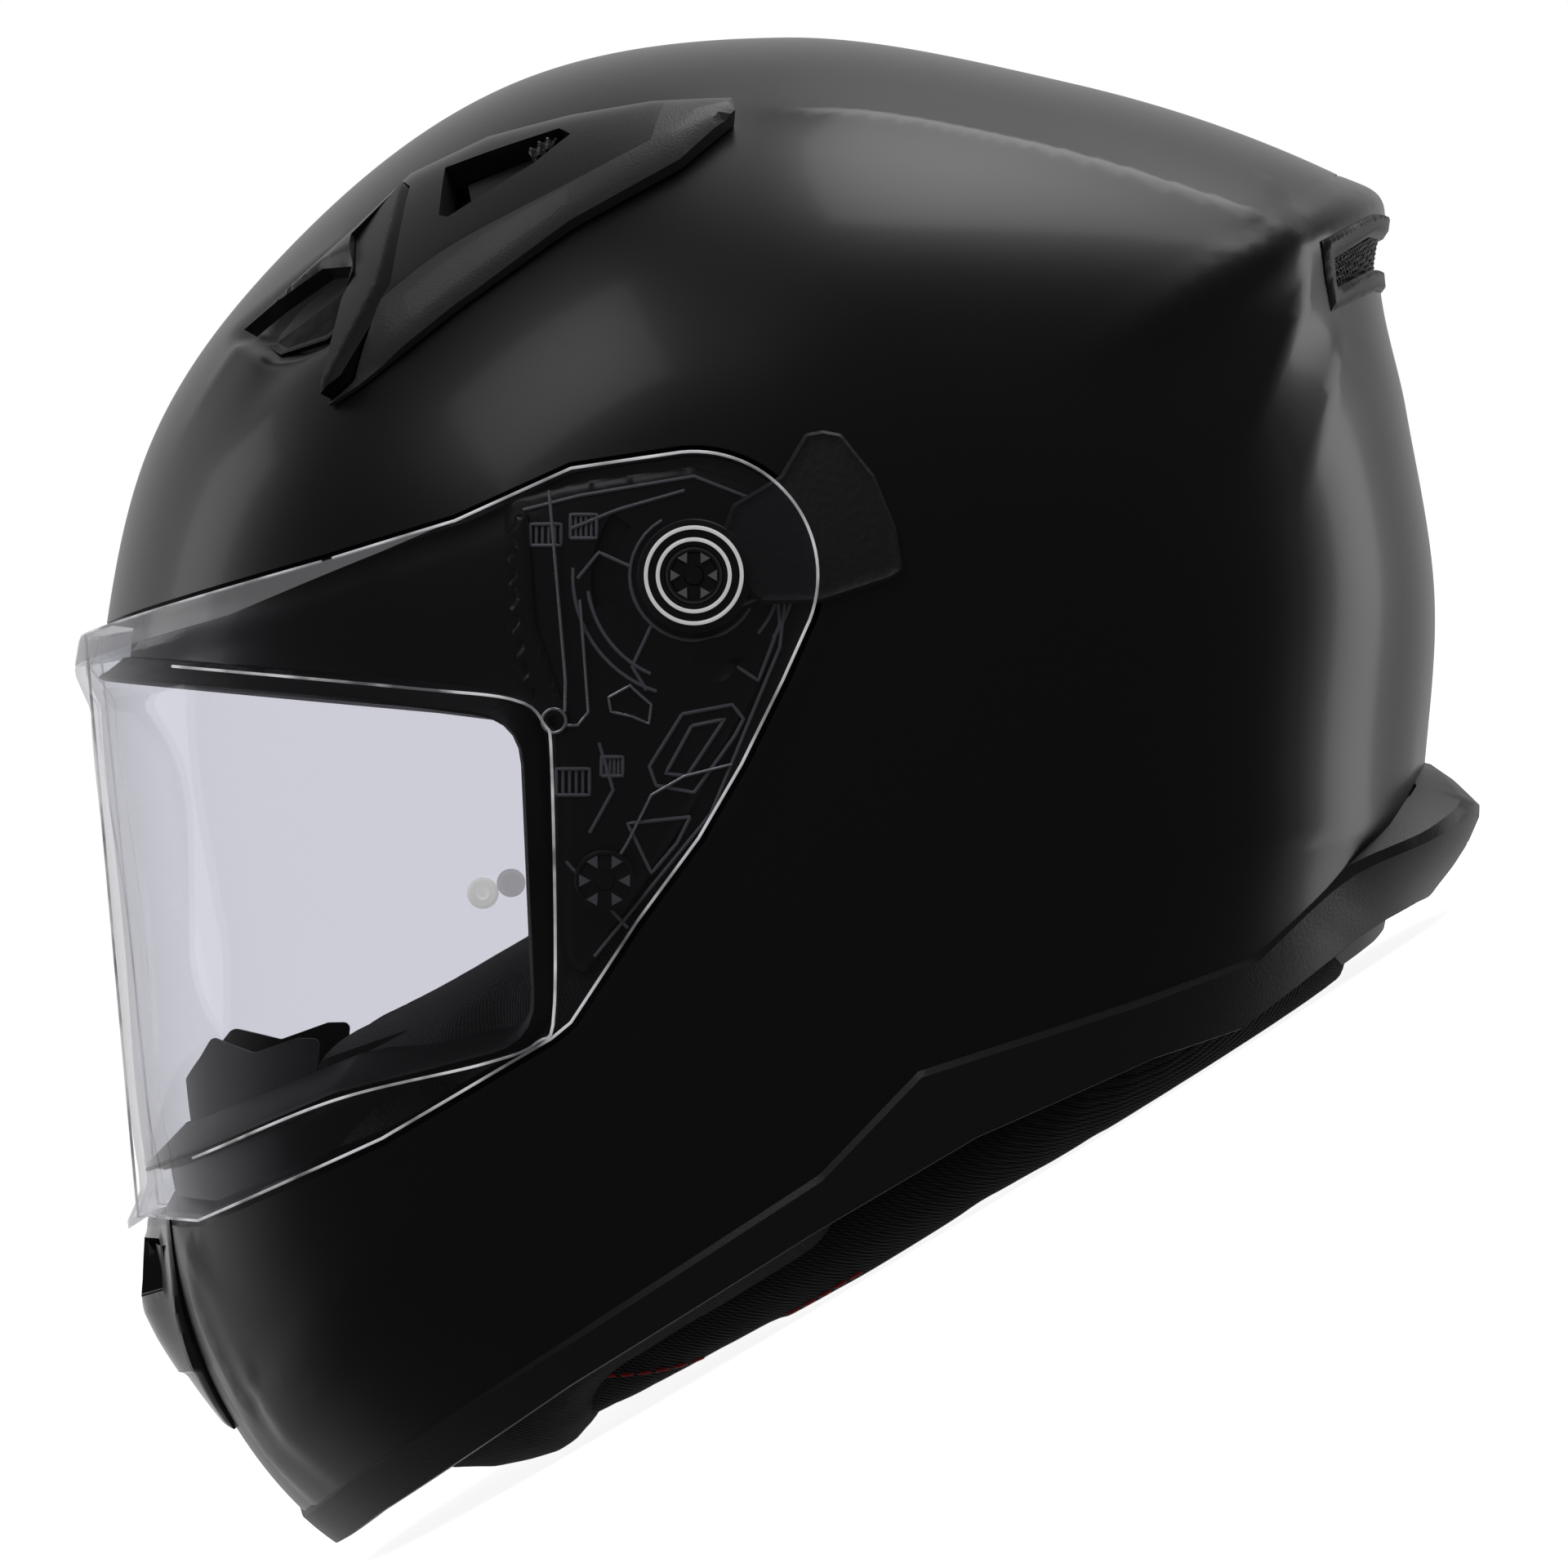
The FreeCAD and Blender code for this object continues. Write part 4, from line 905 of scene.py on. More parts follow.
class HELMET_OT_base_trim(bpy.types.Operator):
    """Satin band round the lower edge, with the duck tail at the nape"""
    bl_idname = "helmet.base_trim"
    bl_label = "Base trim"

    def execute(self, context):
        outline = band_below(TRIM_TOP, RIM)
        band_loop = spread(outline, 3, True)
        rays = [[(reach * math.cos(math.radians(degrees)), reach * math.sin(math.radians(degrees)))
                 for reach in (138, 230)] for degrees in (-15.7, -16.5, -18.5)]

        def top(places):
            edge = depth_in(places, band_loop)
            return -0.6 + 1.7 * smooth_step(edge, 0, 1.3) + nape_lip(places)

        def bottom(places):
            return -8.6 + 1.2 * (1 - smooth_step(depth_in(places, band_loop), 0, 2)) + 0.7 * nape_lip(places)

        band = slab(outline, [], [grown(band_loop, -1.3)] + rays, 0, spacing(2.0), top, bottom, True)
        make_piece("base_trim_band", band, "helmet", FINISHES["trim"], 28, ["base_trim"])
        dress("rear_neck_cover", "trim", 0.4)
        return {"FINISHED"}


# ---------------------------------------------------------------- vents
class HELMET_OT_top_vents(bpy.types.Operator):
    """Crown vents, left and right: faceted cover whose wing is painted lighter as a highlight, dark insert, painted
    shade in the scoop well and sliding shutter
    """
    bl_idname = "helmet.top_vents"
    bl_label = "Top vents"

    def execute(self, context):
        cover_loop = spread(VENT_COVER, 2, True)
        insert_loop = spread(VENT_INSERT, 2, True)
        scoop_loop = spread(VENT_SCOOP, 2, True)

        def cover_top(places):
            distance, _, hand = reach_to(places, VENT_CREASE)
            wing = 6.6 - 0.26 * np.maximum(0, -hand * distance) - 0.02 * np.maximum(0, hand * distance)
            return np.maximum(1.4, wing - 2.2 * np.exp(-depth_in(places, cover_loop) / 2.5))

        def scoop_top(places):
            return -4.6 * smooth_step(depth_in(places, scoop_loop), -4.0, 3.0) + 0.15

        holes = [grown(insert_loop, 0.3), VENT_WINDOW]
        cover = slab(VENT_COVER, holes, [smoothed(VENT_CREASE), VENT_TIP_LINE], 3, spacing(1.4), cover_top,
                     level(0.3), False)
        # A near-black sheet lying in each scoop's well: painted shade.
        scoop = slab(grown(scoop_loop, -0.5), [], [], 0, spacing(1.2), scoop_top,
                     lambda places: scoop_top(places) - 0.4, False)
        insert = slab(VENT_INSERT, [], [VENT_INSERT_FOLD], 3, spacing(1.2), insert_top, level(0.3), False)
        knob = slab(SLIDER_KNOB, [], [], 3, spacing(0.5), knob_top, level(1.0), False)
        shutter = joined([knob, slab(SLIDER_PLATE, [], [], 1.5, spacing(1.5), level(2.2), level(1.0), False)])
        for side in ("left", "right"):
            facing = (lambda shape: shape) if side == "left" else mirrored
            piece = make_piece("top_vent_cover_" + side + "_shell", facing(cover), "helmet", FINISHES["vent"], 22,
                               ["top_vent_cover_" + side])
            # The lower facet and tip take the lighter plastic: painted highlight.
            paint(piece, FINISHES["wing"], lambda side: on_the_wing(outline_places(side, cover_top, 3)))
            soften(piece, 0.5)
            make_piece("vent_scoop_" + side, facing(scoop), "helmet", FINISHES["insert"], 60, ())
            piece = make_piece("top_vent_insert_" + side + "_leg", facing(insert), "helmet", FINISHES["insert"], 22,
                               ["top_vent_insert_" + side])
            soften(piece, 0.4)
            make_piece("top_vent_slider_" + side + "_shutter", facing(shutter), side + "_top_vent_slider",
                       FINISHES["mechanism"], 30, ["top_vent_slider_" + side])
        return {"FINISHED"}


def outline_places(side, top, offset):
    """Where side-view points of a slab's top face are in its outline, which is drawn at an offset."""
    places = side
    for _ in range(4):
        turn, out = turn_and_out(side, top(places))
        places = skin(turn, np.minimum(out, 1), offset)[:, 1:]
    return places


def on_the_wing(places):
    """True below the cover's long crease, and on its tip."""
    distance, _, hand = reach_to(places, smoothed(VENT_CREASE))
    tip_side = reach_to(places, VENT_TIP_LINE)[2]
    return (hand * distance < 0.05) | ((tip_side < 0) & (places[:, 0] > -12))


def paint(piece, material, wanted):
    """Gives a piece's faces a second material where wanted says so of their place in the side view."""
    piece.data.materials.append(material)
    centres = np.array([polygon.center[:] for polygon in piece.data.polygons])
    chosen = wanted(worn(centres)[:, 1:])
    piece.data.polygons.foreach_set("material_index", chosen.astype(np.int32))


def insert_top(places):
    """The insert's two facets meet on a fold."""
    distance = reach_to(places, VENT_INSERT_FOLD)[0]
    return 5.6 - 0.22 * distance


def knob_top(places):
    return 5.6 + 0.6 * np.sin(places[:, 0] * 3.6)


def soften(piece, width):
    """Rounds a piece's sharp edges."""
    edge = piece.modifiers.new("edge_radius", "BEVEL")
    edge.width = width * 0.001
    edge.segments = 2
    edge.limit_method = "ANGLE"
    edge.angle_limit = math.radians(50)
    edge.harden_normals = True


class HELMET_OT_chin_vent(bpy.types.Operator):
    """Gloss chin vent with two slanted windows and its sliding shutter"""
    bl_idname = "helmet.chin_vent"
    bl_label = "Chin vent"

    def execute(self, context):
        outline = [(0, -137.6), (39, -137.6), (34, -149), (27, -165), (19, -178), (16, -184.8), (0, -184.8)]
        outline_loop = spread(outline + [(-16, -184.8), (-39, -137.6)], 1, True)
        window = rounded([(7.5, -142.5), (28, -142.5), (25, -153.5), (9.5, -154.5)], 1.0)
        fold = [(38, -139), (27, -152), (11, -158), (0, -158)]
        keel = [(11, -158), (9, -171.5), (13, -184)]
        step_line = [(0, -171.5), (9, -171.5), (22.5, -171.5)]

        def top(places):
            across, height = places[:, 0], places[:, 1]
            nose = np.interp(height, [-184.8, -174.5, -171.6, -171.3, -163.5, -157.7, -155.5, -151, -144, -137.6],
                             [1.2, 3.0, 3.6, 4.8, 6.6, 7.6, 7.4, 5.6, 3.4, 1.6])
            spine = 1 - 0.75 * smooth_step(across, 6, 32)
            rim = 0.5 * np.exp(-(np.abs(depth_in(places, np.array(window))) / 0.9) ** 2)
            return 0.5 + nose * spine * smooth_step(depth_in(places, outline_loop), -1.2, 1.6) + rim

        shape = front_slab(outline, [window], [fold, keel, step_line], 1.0, top, level(0.2))
        soften(make_piece("chin_vent_cover", shape, "helmet", FINISHES["gloss"], 24, ["chin_vent_housing"]), 0.3)
        dress("chin_vent_shutter", "mechanism", 0.3)
        return {"FINISHED"}


class HELMET_OT_rear_vent(bpy.types.Operator):
    """Exhaust vent under the spoiler: frame and crimped wire mesh"""
    bl_idname = "helmet.rear_vent"
    bl_label = "Rear vent"

    def execute(self, context):
        loop = spread(REAR_VENT, 2, True)
        hole = spread(REAR_MESH, 2, True)

        def top(places):
            outside = depth_in(places, loop)
            inner = np.where(places[:, 0] > 160, 3, -depth_in(places, hole))
            return 0.4 + 0.9 * smooth_step(np.minimum(outside, inner), 0, 0.8)

        frame_shape = slab(REAR_VENT, [REAR_MESH], [], 0, spacing(1.2), top, level(-4), True)
        make_piece("rear_vent_surround", frame_shape, "helmet", FINISHES["trim"], 35, ["rear_vent_frame"])

        def mesh_point(x, share, lift):
            y = 145.0
            for _ in range(12):
                low = 63.4 + (y - 138) * 0.52
                high = 69.5 + (y - 137.4) * 0.64
                z = low + share * (high - low)
                y = float(side_of(abs(x), z, front=False)[0])
            turn, out = turn_and_out(np.array([y, z]), 0)
            point = skin(turn, np.minimum(out, 1), -1.6 + lift)
            return (math.copysign(point[0], x), point[1], point[2])

        paths = []
        for slant in (-1, 1):
            for index in range(-30, 31):
                start = index * 1.8
                path = []
                for step in range(9):
                    share = step / 8
                    x = start + slant * (share - 0.5) * 7
                    if abs(x) < 53:
                        path.append(mesh_point(x, share, 0.3 * slant * math.sin(step * math.pi + index)))
                if len(path) > 2:
                    paths.append(path)
        wires("rear_vent_wire_mesh", paths, 0.28, "helmet", FINISHES["mesh_wire"], ["rear_vent_mesh"])
        return {"FINISHED"}


# ---------------------------------------------------------------- visor
def lens_relief(places):
    """Brow ridge and lower flange of the lens above its plain skin."""
    distance, share, hand = reach_to(places, LENS_RIDGE)
    up = -hand * distance
    fading = 1 - smooth_step(share, 0.55, 1.0)
    brow = np.where(up > 0, 1.5 - 0.42 * up, 1.5 * np.exp(-np.abs(up) / 9))
    distance, share, hand = reach_to(places, LENS_FLANGE)
    down = np.where(hand > 0, distance, 0)
    flare = 0.16 * down * smooth_step(share, 0, 0.3)
    return np.maximum(brow, -2.0) * fading + np.minimum(flare, 1.2)


def beak(places):
    """Finger lip in the middle of the lens's lower edge."""
    across = on_skin(places, LENS_INNER)[:, 0]
    return 4.6 * smooth_step(-places[:, 1], 134.6, 136.4) * (1 - smooth_step(across, 13, 18))


class HELMET_OT_lens(bpy.types.Operator):
    """Clear lens with brow ridge, flange and finger lip, its insert pins and hub collars"""
    bl_idname = "helmet.lens"
    bl_label = "Lens"

    def execute(self, context):
        def top(places):
            return LENS_OUTER + lens_relief(places) + beak(places)

        def bottom(places):
            return LENS_INNER + lens_relief(places) + beak(places) * 0.8

        lines = [smoothed(LENS_RIDGE), smoothed(LENS_FLANGE)]
        hub = circle((0, 0), HUB_RADIUS + 0.1)
        shape = slab(lens_outline(), [hub], lines, 3.65, spacing(2.2), top, bottom, True, LENS_POLE_POWER)
        make_piece("lens", shape, "visor", FINISHES["lens"], 35, ["visor_lens"])
        # A thin pale sheet just over the brow bevel: painted highlight.
        bevel = slab(BROW_BEVEL, [], [], 3.65, spacing(1.6), lambda places: top(places) + 0.25,
                     lambda places: top(places) + 0.1, True, LENS_POLE_POWER)
        make_piece("lens_brow_painted_highlight", bevel, "visor", FINISHES["painted_brow_sheen"], 35, ())
        self.painted_edge_highlights(top)
        pins = []
        collars = []
        pin_x = float(on_skin(np.array([PINLOCK]), LENS_OUTER, LENS_POLE_POWER)[0, 0])
        pin_profile = [(pin_x - 5.2, 0.01), (pin_x - 5.2, 2.2), (pin_x - 4.6, 2.9), (pin_x - 3.0, 2.9),
                       (pin_x - 2.7, 3.3), (pin_x + 0.2, 3.3), (pin_x + 0.9, 2.7), (pin_x + 1.1, 1.4),
                       (pin_x + 0.7, 1.0), (pin_x + 0.7, 0.01)]
        face = HALF_WIDTH + LENS_OUTER
        collar_profile = [(face, HUB_RADIUS + 0.1), (face + 1.1, HUB_RADIUS + 0.1), (face + 1.4, 7.7),
                          (face + 0.5, 8.1), (face + 0.5, 9.5), (face + 1.3, 9.9), (face + 1.0, 10.4), (face, 10.4)]
        bead = [(face + 1.1, radius) for radius in (HUB_RADIUS + 0.25, 10.05)]
        for side in (1, -1):
            pins.append(turned(pin_profile, PINLOCK, 32, side))
            collars.append(turned(collar_profile, (0, 0), 72, side))
        # Thin beads at both edges of each collar, in the glowing hub material: painted highlight rings.
        rings = [[(side * x, y, z) for y, z in circle((0, 0), radius, 72)] for x, radius in bead for side in (1, -1)]
        wires("hub_collar_highlight_beads", rings, 0.42, "visor", FINISHES["hub"], (), True)
        # The insert pins glow with the same painted highlight.
        make_piece("lens_insert_pins", joined(pins), "visor", FINISHES["hub"], 30, ["pinlock_pins"])
        make_piece("lens_hub_collars", joined(collars), "visor", FINISHES["gloss"], 30, ["visor_hub_rings"])
        return {"FINISHED"}


    @staticmethod
    def painted_edge_highlights(top):
        """Edges of the lens and the step round its thick middle, drawn as thin glowing wires: painted highlights
        where they catch the light.
        """
        rim = np.vstack([LENS_LOOP, LENS_LOOP[:1]])
        rim = rim[turn_and_out(rim, LENS_OUTER)[1] < 0.995]
        step = [smoothed([(-112, -18.5), (-60, -23.5), (-38, -26), (-31.5, -31), (-29.8, -40), (-29.3, -90),
                          (-33, -98), (-44, -102.5), (-76, -110.5), (-108, -124)])]
        paths = []
        cut = int(np.argmax(np.linalg.norm(np.diff(rim, axis=0), axis=1))) + 1
        rim = np.vstack([rim[cut:], rim[:cut]])
        for path, lift in [(rim, -0.2)] + [(line, 0.05) for line in step]:
            points = on_skin(path, top(path) + lift, LENS_POLE_POWER)
            paths += [points, points * np.array([-1, 1, 1])]
        wires("lens_edge_painted_highlights", paths, 0.32, "visor", FINISHES["edge"], ())


class HELMET_OT_gasket(bpy.types.Operator):
    """Rubber seal round the eyeport, ribbed where the lens lands"""
    bl_idname = "helmet.gasket"
    bl_label = "Eyeport seal"

    def execute(self, context):
        outer = grown(EYEPORT_LOOP, 4.5)

        def top(places):
            out = -depth_in(places, EYEPORT_LOOP)
            lip = 1.6 * np.exp(-((out - 0.9) / 0.8) ** 2)
            bead = 1.0 * np.exp(-((out - 3.0) / 0.6) ** 2)
            slope = -0.6 - 3.6 * smooth_step(out, 1.4, 3.6)
            return slope + lip + bead

        lines = [np.vstack([loop, loop[:1]]) for loop in
                 (grown(EYEPORT_LOOP, 0.9), grown(EYEPORT_LOOP, 2.1), grown(EYEPORT_LOOP, 3.0))]
        shape = slab(outer, [EYEPORT_LOOP], lines, -2, spacing(1.5), top, level(-12), True)
        make_piece("eyeport_seal", shape, "helmet", FINISHES["rubber"], 50, ["eyeport_gasket"])
        return {"FINISHED"}


# ---------------------------------------------------------------- visor mechanism
PLATE_RIBS = [
    arc((0, 0), 22.5, 188, 246, 14), arc((0, 0), 25.5, 176, 252, 16), arc((0, 0), 13.5, 120, 330, 22),
    arc((0, 0), 18, 318, 372, 12), arc((0, 0), 21, 322, 366, 10),
    [(-13.5, 2), (-20, 5), (-24.5, -0.5)], [(-9, -10.5), (-13, -19), (-10, -24)],
    [(-2.5, -29), (8, -27), (10.4, -30), (8.6, -33.5), (0, -45.5), (-8, -44), (-9.4, -40), (-2.5, -29)],
    [(-0.5, -31.5), (6.5, -30), (-1.5, -42), (-6, -41.5), (-0.5, -31.5)],
    [(-0.8, -50.6), (-14, -52), (-9, -62.5), (-3.5, -56), (-0.8, -50.6)],
    [(5, -8), (13.8, -4.5), (9.5, 4)], [(14, 3), (17, 1), (18, -10), (13.5, -22), (9, -19)],
    [(-36, 14), (-24, 17), (0, 21), (14, 15.5), (20, 3), (18, -15), (3.5, -50), (-21, -80)],
    [(-26, 10), (-16, 14), (-2, 18)], [(-20, -35), (-17, -45), (-22, -54)], [(-27, -60), (-14, -74)],
]
PLATE_WINDOWS = [[(-34.5, 6.5), (-28, 6.5), (-28, 11), (-34.5, 11)], [(-26, 8), (-20.5, 8), (-20.5, 13), (-26, 13)],
                 [(-29, -46), (-22, -46), (-22, -40.5), (-29, -40.5)], [(-19.5, -42), (-15, -42), (-15, -38), (-19.5, -38)]]


def plate_path(path, lift=0.35):
    return on_skin(spread(path, 1.2, False), -3.0 + lift)


def tooth_edge(front, depth, pitch):
    """Scalloped line along a path: the notches that hold the lens open."""
    dense = smoothed(front, 0.6)
    wave = depth * np.sin(np.arange(len(dense)) * 0.6 / pitch * FULL_TURN)
    return [(y + w, z) for (y, z), w in zip(dense, wave)]


def screw_head(height, radius, centre, side):
    """Dished round head."""
    return turned([(height - 1.6, 0.01), (height - 1.6, radius), (height - 0.5, radius), (height - 0.1, radius - 0.5),
                   (height - 0.1, radius - 1.0), (height - 0.7, radius - 1.3), (height - 0.7, 2.2),
                   (height - 0.2, 1.9), (height - 0.2, 0.01)], centre, 40, side)


def arrow_teeth(height, radius, centre, side):
    """Six raised arrow-shaped teeth round a screw head's middle."""
    shapes = []
    for index in range(6):
        points = []
        for x in (height - 0.8, height):
            for reach, turn_by in ((radius - 1.0, -0.24), (radius - 1.0, 0.24), (2.9, 0.0)):
                angle = FULL_TURN * index / 6 + turn_by
                points.append((side * x, centre[0] + reach * math.cos(angle), centre[1] + reach * math.sin(angle)))
        faces = [(0, 2, 1), (3, 4, 5), (0, 1, 4, 3), (1, 2, 5, 4), (2, 0, 3, 5)]
        shapes.append((np.array(points), [face if side > 0 else face[::-1] for face in faces]))
    return joined(shapes)


class HELMET_OT_mechanism(bpy.types.Operator):
    """Visor base plates with ribs, catch arms, springs, screws and the sun shield's finger lever"""
    bl_idname = "helmet.mechanism"
    bl_label = "Visor mechanism"

    def execute(self, context):
        outline = rounded(BASE_PLATE, 3)
        slot_hole = arc((0, 0), 21.6, 142, 198, 16) + arc((0, 0), 16.4, 198, 142, 16)
        plate_loop = spread(outline, 2, True)
        windows = [spread(window, 1.0, True) for window in PLATE_WINDOWS]

        def top(places):
            edge = depth_in(places, plate_loop)
            return -3.6 + 0.6 * smooth_step(edge, 0.2, 1.2) + ridge(places, BOSS_LOOP, 0.8, 0.7)

        plate = slab(outline, [slot_hole, circle((0, 0), 3.1, 20)] + windows, [BOSS_LOOP], -4, spacing(1.2),
                     top, level(-5.8), False)
        axle = turned([(103.5, 3.1), (103.5, HUB_RADIUS), (127.3, HUB_RADIUS), (127.7, 6.9), (127.7, 6.2),
                       (125.1, 6.2), (125.1, 3.1)], (0, 0), 48)
        arm_front = tooth_edge([(-38.6, 13), (-38.2, -2), (-37.2, -14), (-33.8, -27)], 0.8, 5.5)
        arm_outline = arm_front + [(-31, -33), (-28, -33.4), (-26.4, -30.4), (-27.5, -27), (-33.5, -10), (-35.2, 13)]
        arm_loop = spread(arm_outline, 1, True)

        def arm_top(places):
            return -1.5 + 0.9 * smooth_step(depth_in(places, arm_loop), 0, 0.8)

        arm = slab(arm_outline, [circle(DETENT_HINGE, 1.3, 16)], [], -1.5, spacing(0.8), arm_top, level(-2.6), False)
        clip_path = [(-18, -25.5), (-13.5, -23), (-9, -27), (-9.5, -31), (-13, -29.5), (-17.5, -28.5)]
        guide = [(-18.8, -64), (-14, -56), (-9, -46), (-2, -42), (8, -39.5)]
        for side, sign in (("left", 1), ("right", -1)):
            facing = (lambda shape: shape) if sign > 0 else mirrored
            flip = np.array([sign, 1, 1])
            make_piece("base_plate_" + side, facing(joined([plate, axle])), "helmet", FINISHES["mechanism"], 30,
                       ["visor_base_plate_" + side])
            make_piece("catch_arm_" + side, facing(arm), side + "_detent_arm", FINISHES["mechanism"], 30,
                       ["detent_arm_" + side])
            ribs = [plate_path(path) * flip for path in PLATE_RIBS]
            ribs += [plate_path(window + window[:1]) * flip for window in PLATE_WINDOWS]
            # Ribs and louvres are drawn light grey: painted highlights.
            wires("base_plate_ribs_" + side, ribs, 0.42, "helmet", FINISHES["rib_painted_light"], ())
            slats = []
            for window in PLATE_WINDOWS:
                (y0, z0), (y1, _), (_, z1) = window[0], window[1], window[2]
                for share in (0.2, 0.4, 0.6, 0.8):
                    y = y0 + (y1 - y0) * share
                    slats.append(plate_path([(y, z0 + 0.3), (y, z1 - 0.3)], -0.2) * flip)
            wires("base_plate_louvres_" + side, slats, 0.38, "helmet", FINISHES["rib_painted_light"], ())
            spring = [[self.coil_point(index) * flip for index in range(60)],
                      np.array([(122.6, -27.1, -28.5), (121.8, -27.0, -22), (119.9, -30.5, 18)]) * flip,
                      np.array([(122.6, -27.1, -31.4), (122.0, -24.5, -31.4), (121.5, -22.2, -28.6),
                                (120.2, -24, -5)]) * flip]
            wires("catch_spring_" + side, spring, 0.36, "helmet", FINISHES["steel"], ["torsion_spring_" + side])
            wires("plate_clip_" + side, [plate_path(clip_path + clip_path[:1], 0.9) * flip,
                                         plate_path(guide, 1.2) * flip], 0.33, "helmet", FINISHES["steel"], ())
        screws = [(128.2, 6.0, (0, 0)), (120.9, 6.5, LOWER_SCREW)]
        heads = [screw_head(*screw, side) for screw in screws for side in (1, -1)]
        make_piece("rosette_screws", joined(heads), "helmet", FINISHES["mechanism"], 25, ["base_plate_screws"])
        # The screw teeth are drawn light grey: painted highlights.
        teeth = [arrow_teeth(*screw, side) for screw in screws for side in (1, -1)]
        make_piece("rosette_teeth", joined(teeth), "helmet", FINISHES["rib_painted_light"], 25, ())
        self.finger_lever()
        return {"FINISHED"}

    @staticmethod
    def coil_point(index):
        angle = index * FULL_TURN / 20
        return np.array([122.0 + index * 0.027, DETENT_HINGE[0] + 2.5 * math.cos(angle),
                         DETENT_HINGE[1] + 2.5 * math.sin(angle)])

    @staticmethod
    def finger_lever():
        tab = [(8, 15), (18, 21), (23.2, 29.9), (27, 30.6), (30.9, 29.9), (38, 21), (42.5, 10), (43.9, 0.8),
               (41.2, -0.9), (26.6, -5.7), (14, -6), (4, 4)]
        tab = rounded(tab, 2)
        tab_loop = spread(tab, 1.5, True)

        def top(places):
            edge = depth_in(places, tab_loop)
            rim = 0.45 * np.exp(-((edge - 0.8) / 0.5) ** 2)
            return 1.3 + 0.35 * smooth_step(edge, 0, 0.5) + rim

        hole = circle((0, 0), HUB_RADIUS + 0.2)
        lines = [grown(tab_loop, -0.8), grown(tab_loop, -1.6)]
        outline = tab
        shape = slab(outline, [], lines, 1.3, spacing(1.0), top, level(0.6), False)
        inner = HALF_WIDTH + 0.5
        collar = turned([(inner, HUB_RADIUS + 0.1), (inner, 12), (inner + 1.3, 12), (inner + 1.6, 11.7),
                         (inner + 1.6, HUB_RADIUS + 0.1)], (0, 0), 48)
        make_piece("shield_finger_lever", joined([shape, collar]), "sun_visor", FINISHES["lever"], 35,
                   ["sun_shield_lever"])


BOSS_LOOP = np.array(circle((4.3, -17.6), 4.6, 28) + circle((4.3, -17.6), 4.6, 28)[:1])


class HELMET_OT_sun_shield(bpy.types.Operator):
    """Smoked drop-down shield in its pocket"""
    bl_idname = "helmet.sun_shield"
    bl_label = "Sun shield"

    def execute(self, context):
        dress("sun_shield", "smoke")
        return {"FINISHED"}


# ---------------------------------------------------------------- soft parts
def cushion(outline, offset, high, low, edge_radius, mesh_size, both, relief=None, lines=()):
    """Padded piece between two offsets with round edges: its faces meet halfway at the outline."""
    loop = spread(outline, 3, True)
    half = (high - low) / 2

    def fullness(places):
        edge = np.clip(depth_in(places, loop) / edge_radius, 0, 1)
        return np.sqrt(np.maximum(0, 1 - (1 - edge) ** 2))

    def top(places):
        extra = relief(places) if relief else 0
        return (high + low) / 2 + (half + extra) * (0.02 + 0.98 * fullness(places))

    def bottom(places):
        extra = relief(places) if relief else 0
        return (high + low) / 2 - (half + extra) * (0.02 + 0.98 * fullness(places))

    rings = [grown(loop, -edge_radius * share) for share in (0.1, 0.35, 0.7)]
    return slab(outline, [], rings + list(lines), offset, spacing(mesh_size), top, bottom, both)


def inflate(piece, cap, pressure=4.0):
    """Swells a pad with the cloth solver and keeps each point within cap metres of where it was."""
    remesh = piece.modifiers.new("even_mesh", "REMESH")
    remesh.mode = "VOXEL"
    remesh.voxel_size = 0.0045
    graph = bpy.context.evaluated_depsgraph_get()
    even = bpy.data.meshes.new_from_object(piece.evaluated_get(graph))
    piece.modifiers.clear()
    piece.data = even
    rest = np.array([v.co[:] for v in even.vertices])
    cloth = piece.modifiers.new("swell", "CLOTH")
    cloth.settings.use_pressure = True
    cloth.settings.uniform_pressure_force = pressure
    cloth.settings.effector_weights.gravity = 0
    cloth.point_cache.frame_start = 1
    cloth.point_cache.frame_end = 20
    scene = bpy.context.scene
    for number in range(1, 21):
        scene.frame_set(number)
    graph = bpy.context.evaluated_depsgraph_get()
    swollen = bpy.data.meshes.new_from_object(piece.evaluated_get(graph))
    moved = np.array([v.co[:] for v in swollen.vertices]) - rest
    length = np.linalg.norm(moved, axis=1)[:, None]
    moved *= np.minimum(1, cap / np.maximum(length, 1e-9))
    piece.modifiers.clear()
    swollen.vertices.foreach_set("co", (rest + moved).ravel())
    piece.data = swollen
    scene.frame_set(1)
    smooth = piece.modifiers.new("fine_cloth", "SUBSURF")
    smooth.levels = 1
    smooth.render_levels = 1
    swollen.shade_smooth()


class HELMET_OT_neck_roll(bpy.types.Operator):
    """Padded collar round the neck opening"""
    bl_idname = "helmet.neck_roll"
    bl_label = "Neck roll"

    def execute(self, context):
        shape = cushion(rounded(NECK_ROLL, 4), -19, -10.4, -29.4, 9.0, 3.0, True)
        roll = make_piece("collar_roll", shape, "helmet", FINISHES["roll"], 80, ["neck_roll"])
        inflate(roll, 0.0018)
        return {"FINISHED"}


